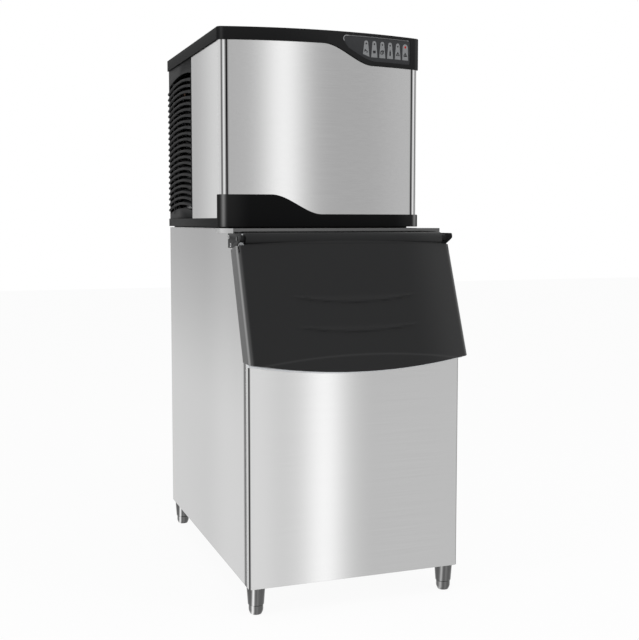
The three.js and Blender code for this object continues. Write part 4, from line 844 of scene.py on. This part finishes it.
def strip(path, width, front, back):
    """A thin raised strip of even width along a path of points."""
    shape = bmesh.new()
    for (x0, z0), (x1, z1) in zip(path, path[1:]):
        run = math.hypot(x1 - x0, z1 - z0)
        if run > 1e-6:
            nx, nz = -(z1 - z0) / run * width / 2, (x1 - x0) / run * width / 2
            quad = [(x0 + nx, z0 + nz), (x0 - nx, z0 - nz), (x1 - nx, z1 - nz), (x1 + nx, z1 + nz)]
            shape.faces.new([shape.verts.new((x, front, z)) for x, z in quad])
    grown = bmesh.ops.extrude_face_region(shape, geom=list(shape.faces))["geom"]
    bmesh.ops.translate(shape, verts=only(bmesh.types.BMVert, grown), vec=(0, back - front, 0))
    bmesh.ops.recalc_face_normals(shape, faces=shape.faces)
    return shape


rim_inset = 0.0016
outline = fascia_outline(-rim_inset)
top_right = fascia_right - rim_inset - fascia_corner
rim_top = head_top - fascia_inset - rim_inset
rim_path = [(fascia_left + fascia_nose + (top_right - fascia_left - fascia_nose) * step / 24, rim_top)
            for step in range(24, -1, -1)] + outline[:9]
rim_line = strip(rim_path, rim_width, -rim_proud, 0)
bowed(rim_line, fascia_out)
piece("fascia_rim", rim_line, rim_highlight_grey, "root", crease=40)

tab_first, tab_pitch, tab_base, tab_crest, tab_height = 0.114, 0.0246, 0.0195, 0.0127, 0.043
tab_top = head_top - 0.011 - fascia_inset
tab_out = fascia_out + 0.0006
lens_drop, sign_drop, stroke = 0.0082, 0.0285, 0.0017
# The signs' strokes, in millimetres from each sign's middle
tap = [[(-5, -1), (-5, 1.5), (2, 1.5), (2, -4)], [(-3, 1.5), (-3, 4)], [(-5, 4.5), (-1, 4.5)],
       [(2, -1), (5, -1)]]
snowflake = [[(-5, 0), (5, 0)], [(-2.5, -4.3), (2.5, 4.3)], [(-2.5, 4.3), (2.5, -4.3)], [(-3, -2), (-3, 2)],
             [(3, -2), (3, 2)]]
cube = [[(-5, -4), (1, -4), (1, 2), (-5, 2), (-5, -4)], [(-5, 2), (-2, 5), (4, 5), (1, 2)],
        [(4, 5), (4, -1), (1, -4)]]
thermometer = [[(0, 9), (0, -2)], [(-1.2, 5), (-1.2, -2)], [(1.2, 5), (1.2, -2)], [(-2.4, -4), (2.4, -4)],
               [(-2, -3), (2, -3)], [(-2, -5), (2, -5)], [(-1.4, -6), (1.4, -6)]]
triangle = [(-5.5, -4), (5.5, -4), (0, 5), (-5.5, -4)]
caution = [triangle, [(0, 2), (0, -2)]]
alarm = [triangle, [(-2.5, -2.4), (2.5, -2.4)], [(0, 2), (0, -1)]]
signs = [tap, snowflake, cube, thermometer, caution, alarm]
for number, sign in enumerate(signs):
    x = tab_first + tab_pitch * number
    last = number == len(signs) - 1
    crown = tab_crest * (1.35 if last else 0.94) / 2
    outline = arc_points(x, tab_top - crown, crown, 0, 1, 10)
    low = tab_top - tab_height
    if number == 0:
        outline += [(x - tab_base / 2, low + 0.007), (x + tab_base / 2, low + 0.0006)]
    else:
        outline += [(x - tab_base / 2, low), (x + tab_base / 2, low)]
    tab = plate(outline, 0, 0.0012, ease=0.0005)
    bowed(tab, tab_out)
    piece(f"tab_{number + 1}", tab, tab_grey, "root", crease=40)
    lens_radius = 0.0031 if last else 0.0024
    lens = plate(arc_points(x, tab_top - lens_drop, lens_radius, 0, 1.9, 14), 0, 0.0008, ease=0.0003)
    bowed(lens, tab_out + 0.0003)
    piece(f"lamp_{number + 1}", lens, lamp_red if last else lamp_dark, "root")
    drawn = bmesh.new()
    for line in sign:
        path = [(x + u / 1000, tab_top - sign_drop + w / 1000) for u, w in line]
        part = strip(path, stroke, -0.0001, 0.0004)
        mesh = bpy.data.meshes.new("sign_part")
        part.to_mesh(mesh)
        part.free()
        drawn.from_mesh(mesh)
        bpy.data.meshes.remove(mesh)
    bowed(drawn, tab_out)
    piece(f"sign_{number + 1}", drawn, sign_ink, "root", crease=40)

# Louvre grilles: a black moulded frame let into the back half of each side, with an arch-topped window full
# of bowed blades. Each blade is arched along its length, bulges outwards and slopes down to shed water.
grille_low, grille_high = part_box("left_louvre_grille")
frame_wall, post, reveal = 0.003, 0.009, 0.015
window_low, window_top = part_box("head_base_pan")[1].z + 0.017, head_top - 0.083
window_front, window_rear = grille_low.y + post, grille_high.y - post
window_run = window_rear - window_front
blade_pitch, blade_arch = 0.017, 0.017
blade_count = int((window_top - window_low - 0.006) / blade_pitch)
blade_section = [(0.0006, -0.0085), (0.0030, -0.0081), (0.0050, -0.0064), (0.0056, -0.0044),
                 (0.0049, -0.0022), (0.0024, -0.0005), (-0.0030, 0.0014), (-0.0140, 0.0040),
                 (-0.0140, 0.0018), (-0.0050, -0.0012), (-0.0006, -0.0040), (-0.0004, -0.0070)]


def arch_at(y):
    """How high the window's arch stands at a place along it."""
    return blade_arch * (1 - ((y - window_front - window_run * 0.42) / (window_run * 0.58)) ** 2)


def grille(sign):
    outer = [(grille_low.y, grille_low.z), (grille_high.y, grille_low.z),
             (grille_high.y, grille_high.z), (grille_low.y, grille_high.z)]
    steps = 16
    across_window = [window_front + window_run * step / steps for step in range(steps + 1)]
    inner = ([(y, window_low + arch_at(y) * 0.8) for y in across_window]
             + [(y, window_top + arch_at(y)) for y in reversed(across_window)])
    shape = bmesh.new()
    for loop in (outer, inner):
        ring = [shape.verts.new((half, y, z)) for y, z in loop]
        hoop = [shape.edges.new(pair) for pair in zip(ring, ring[1:] + ring[:1])]
    bmesh.ops.triangle_fill(shape, use_beauty=True, use_dissolve=False, edges=shape.edges)
    walls = bmesh.ops.extrude_edge_only(shape, edges=hoop)["geom"]
    bmesh.ops.translate(shape, verts=only(bmesh.types.BMVert, walls), vec=(frame_wall / 2 - reveal, 0, 0))
    shape.transform(Matrix.Scale(sign, 4, (1, 0, 0)))
    return shape


def blades(sign):
    shape = swept([(half + out, window_front - 0.0012, rise) for out, rise in blade_section],
                  [("line", (0, window_run + post), 0, 16)], closed=True)
    first_blade = shape.verts[:] + shape.edges[:] + shape.faces[:]
    for number in range(1, blade_count):
        copied = bmesh.ops.duplicate(shape, geom=first_blade)["geom"]
        bmesh.ops.translate(shape, verts=only(bmesh.types.BMVert, copied), vec=(0, 0, blade_pitch * number))
    for point in shape.verts:
        share = min(1.0, max(0.0, (point.co.y - window_front) / window_run))
        out = point.co.x - half
        if out > 0:
            point.co.x = half + out * (0.22 + 0.78 * smooth_step(share / 0.3)) * (1 - 0.25 * share ** 4)
        point.co.z += window_low + blade_pitch * 0.9 + arch_at(point.co.y)
    shape.transform(Matrix.Scale(sign, 4, (1, 0, 0)))
    return shape


def divider(sign):
    shape = bmesh.new()
    bmesh.ops.create_cube(shape, size=1.0)
    bmesh.ops.scale(shape, verts=shape.verts, vec=(0.005, 0.006, window_top - window_low + 0.008))
    bmesh.ops.translate(shape, verts=shape.verts,
                        vec=(sign * (half - 0.0015), grille_high.y - 0.066, (window_low + window_top) / 2))
    bmesh.ops.bevel(shape, geom=shape.edges[:], offset=0.001, segments=2, profile=0.5, affect="EDGES",
                    material=-1)
    return shape


grille_plastic = moulded("grille_moulding", (0.016, 0.0162, 0.0167), 0.5, 0.03, 700, 0.0003)
for side, sign in (("left", -1), ("right", 1)):
    piece(f"grille_frame_{side}", grille(sign), grille_plastic, "root",
          [f"{side}_louvre_grille"], wall=frame_wall, crease=30)
    piece(f"grille_blades_{side}", blades(sign), grille_plastic, "root", crease=50)
    piece(f"grille_divider_{side}", divider(sign), grille_plastic, "root")
coated(black_plastic, "drain_fitting", "cable_gland")

# Machinery inside the casing: gear motor, freezing barrel, compressor, coil and fan, in cast, plated,
# enamelled and brass finishes, and pipes in darkened copper. Most of it shows only through the grilles.
cast_grey = moulded("cast_grey", (0.2, 0.205, 0.21), 0.6, 0.4, 600, 0.0006)
black_enamel = moulded("black_enamel", (0.012, 0.012, 0.013), 0.35, 0.5, 300, 0.0002)
copper = brushed_steel("copper_tube", "z", 0.9, bright=(0.10, 0.065, 0.05))
brass = brushed_steel("turned_brass", "z", 0.9, bright=(0.86, 0.64, 0.26))
fin_metal = brushed_steel("aluminium_fins", "z", 0.66)
coated(zinc, "control_box", "tank_shelf", "evaporator_barrel", "auger", "extruder_head")
coated(cast_grey, "gear_motor")
coated(black_enamel, "compressor", "fan_shroud", "fan_motor")
coated(copper, "discharge_pipe", "liquid_pipe", "expansion_pipe", "suction_pipe", "filter_drier")
coated(brass, "inlet_valve", "water_inlet_fitting", "bin_drain_fitting")
coated(fin_metal, "condenser_coil", "fan_blade")
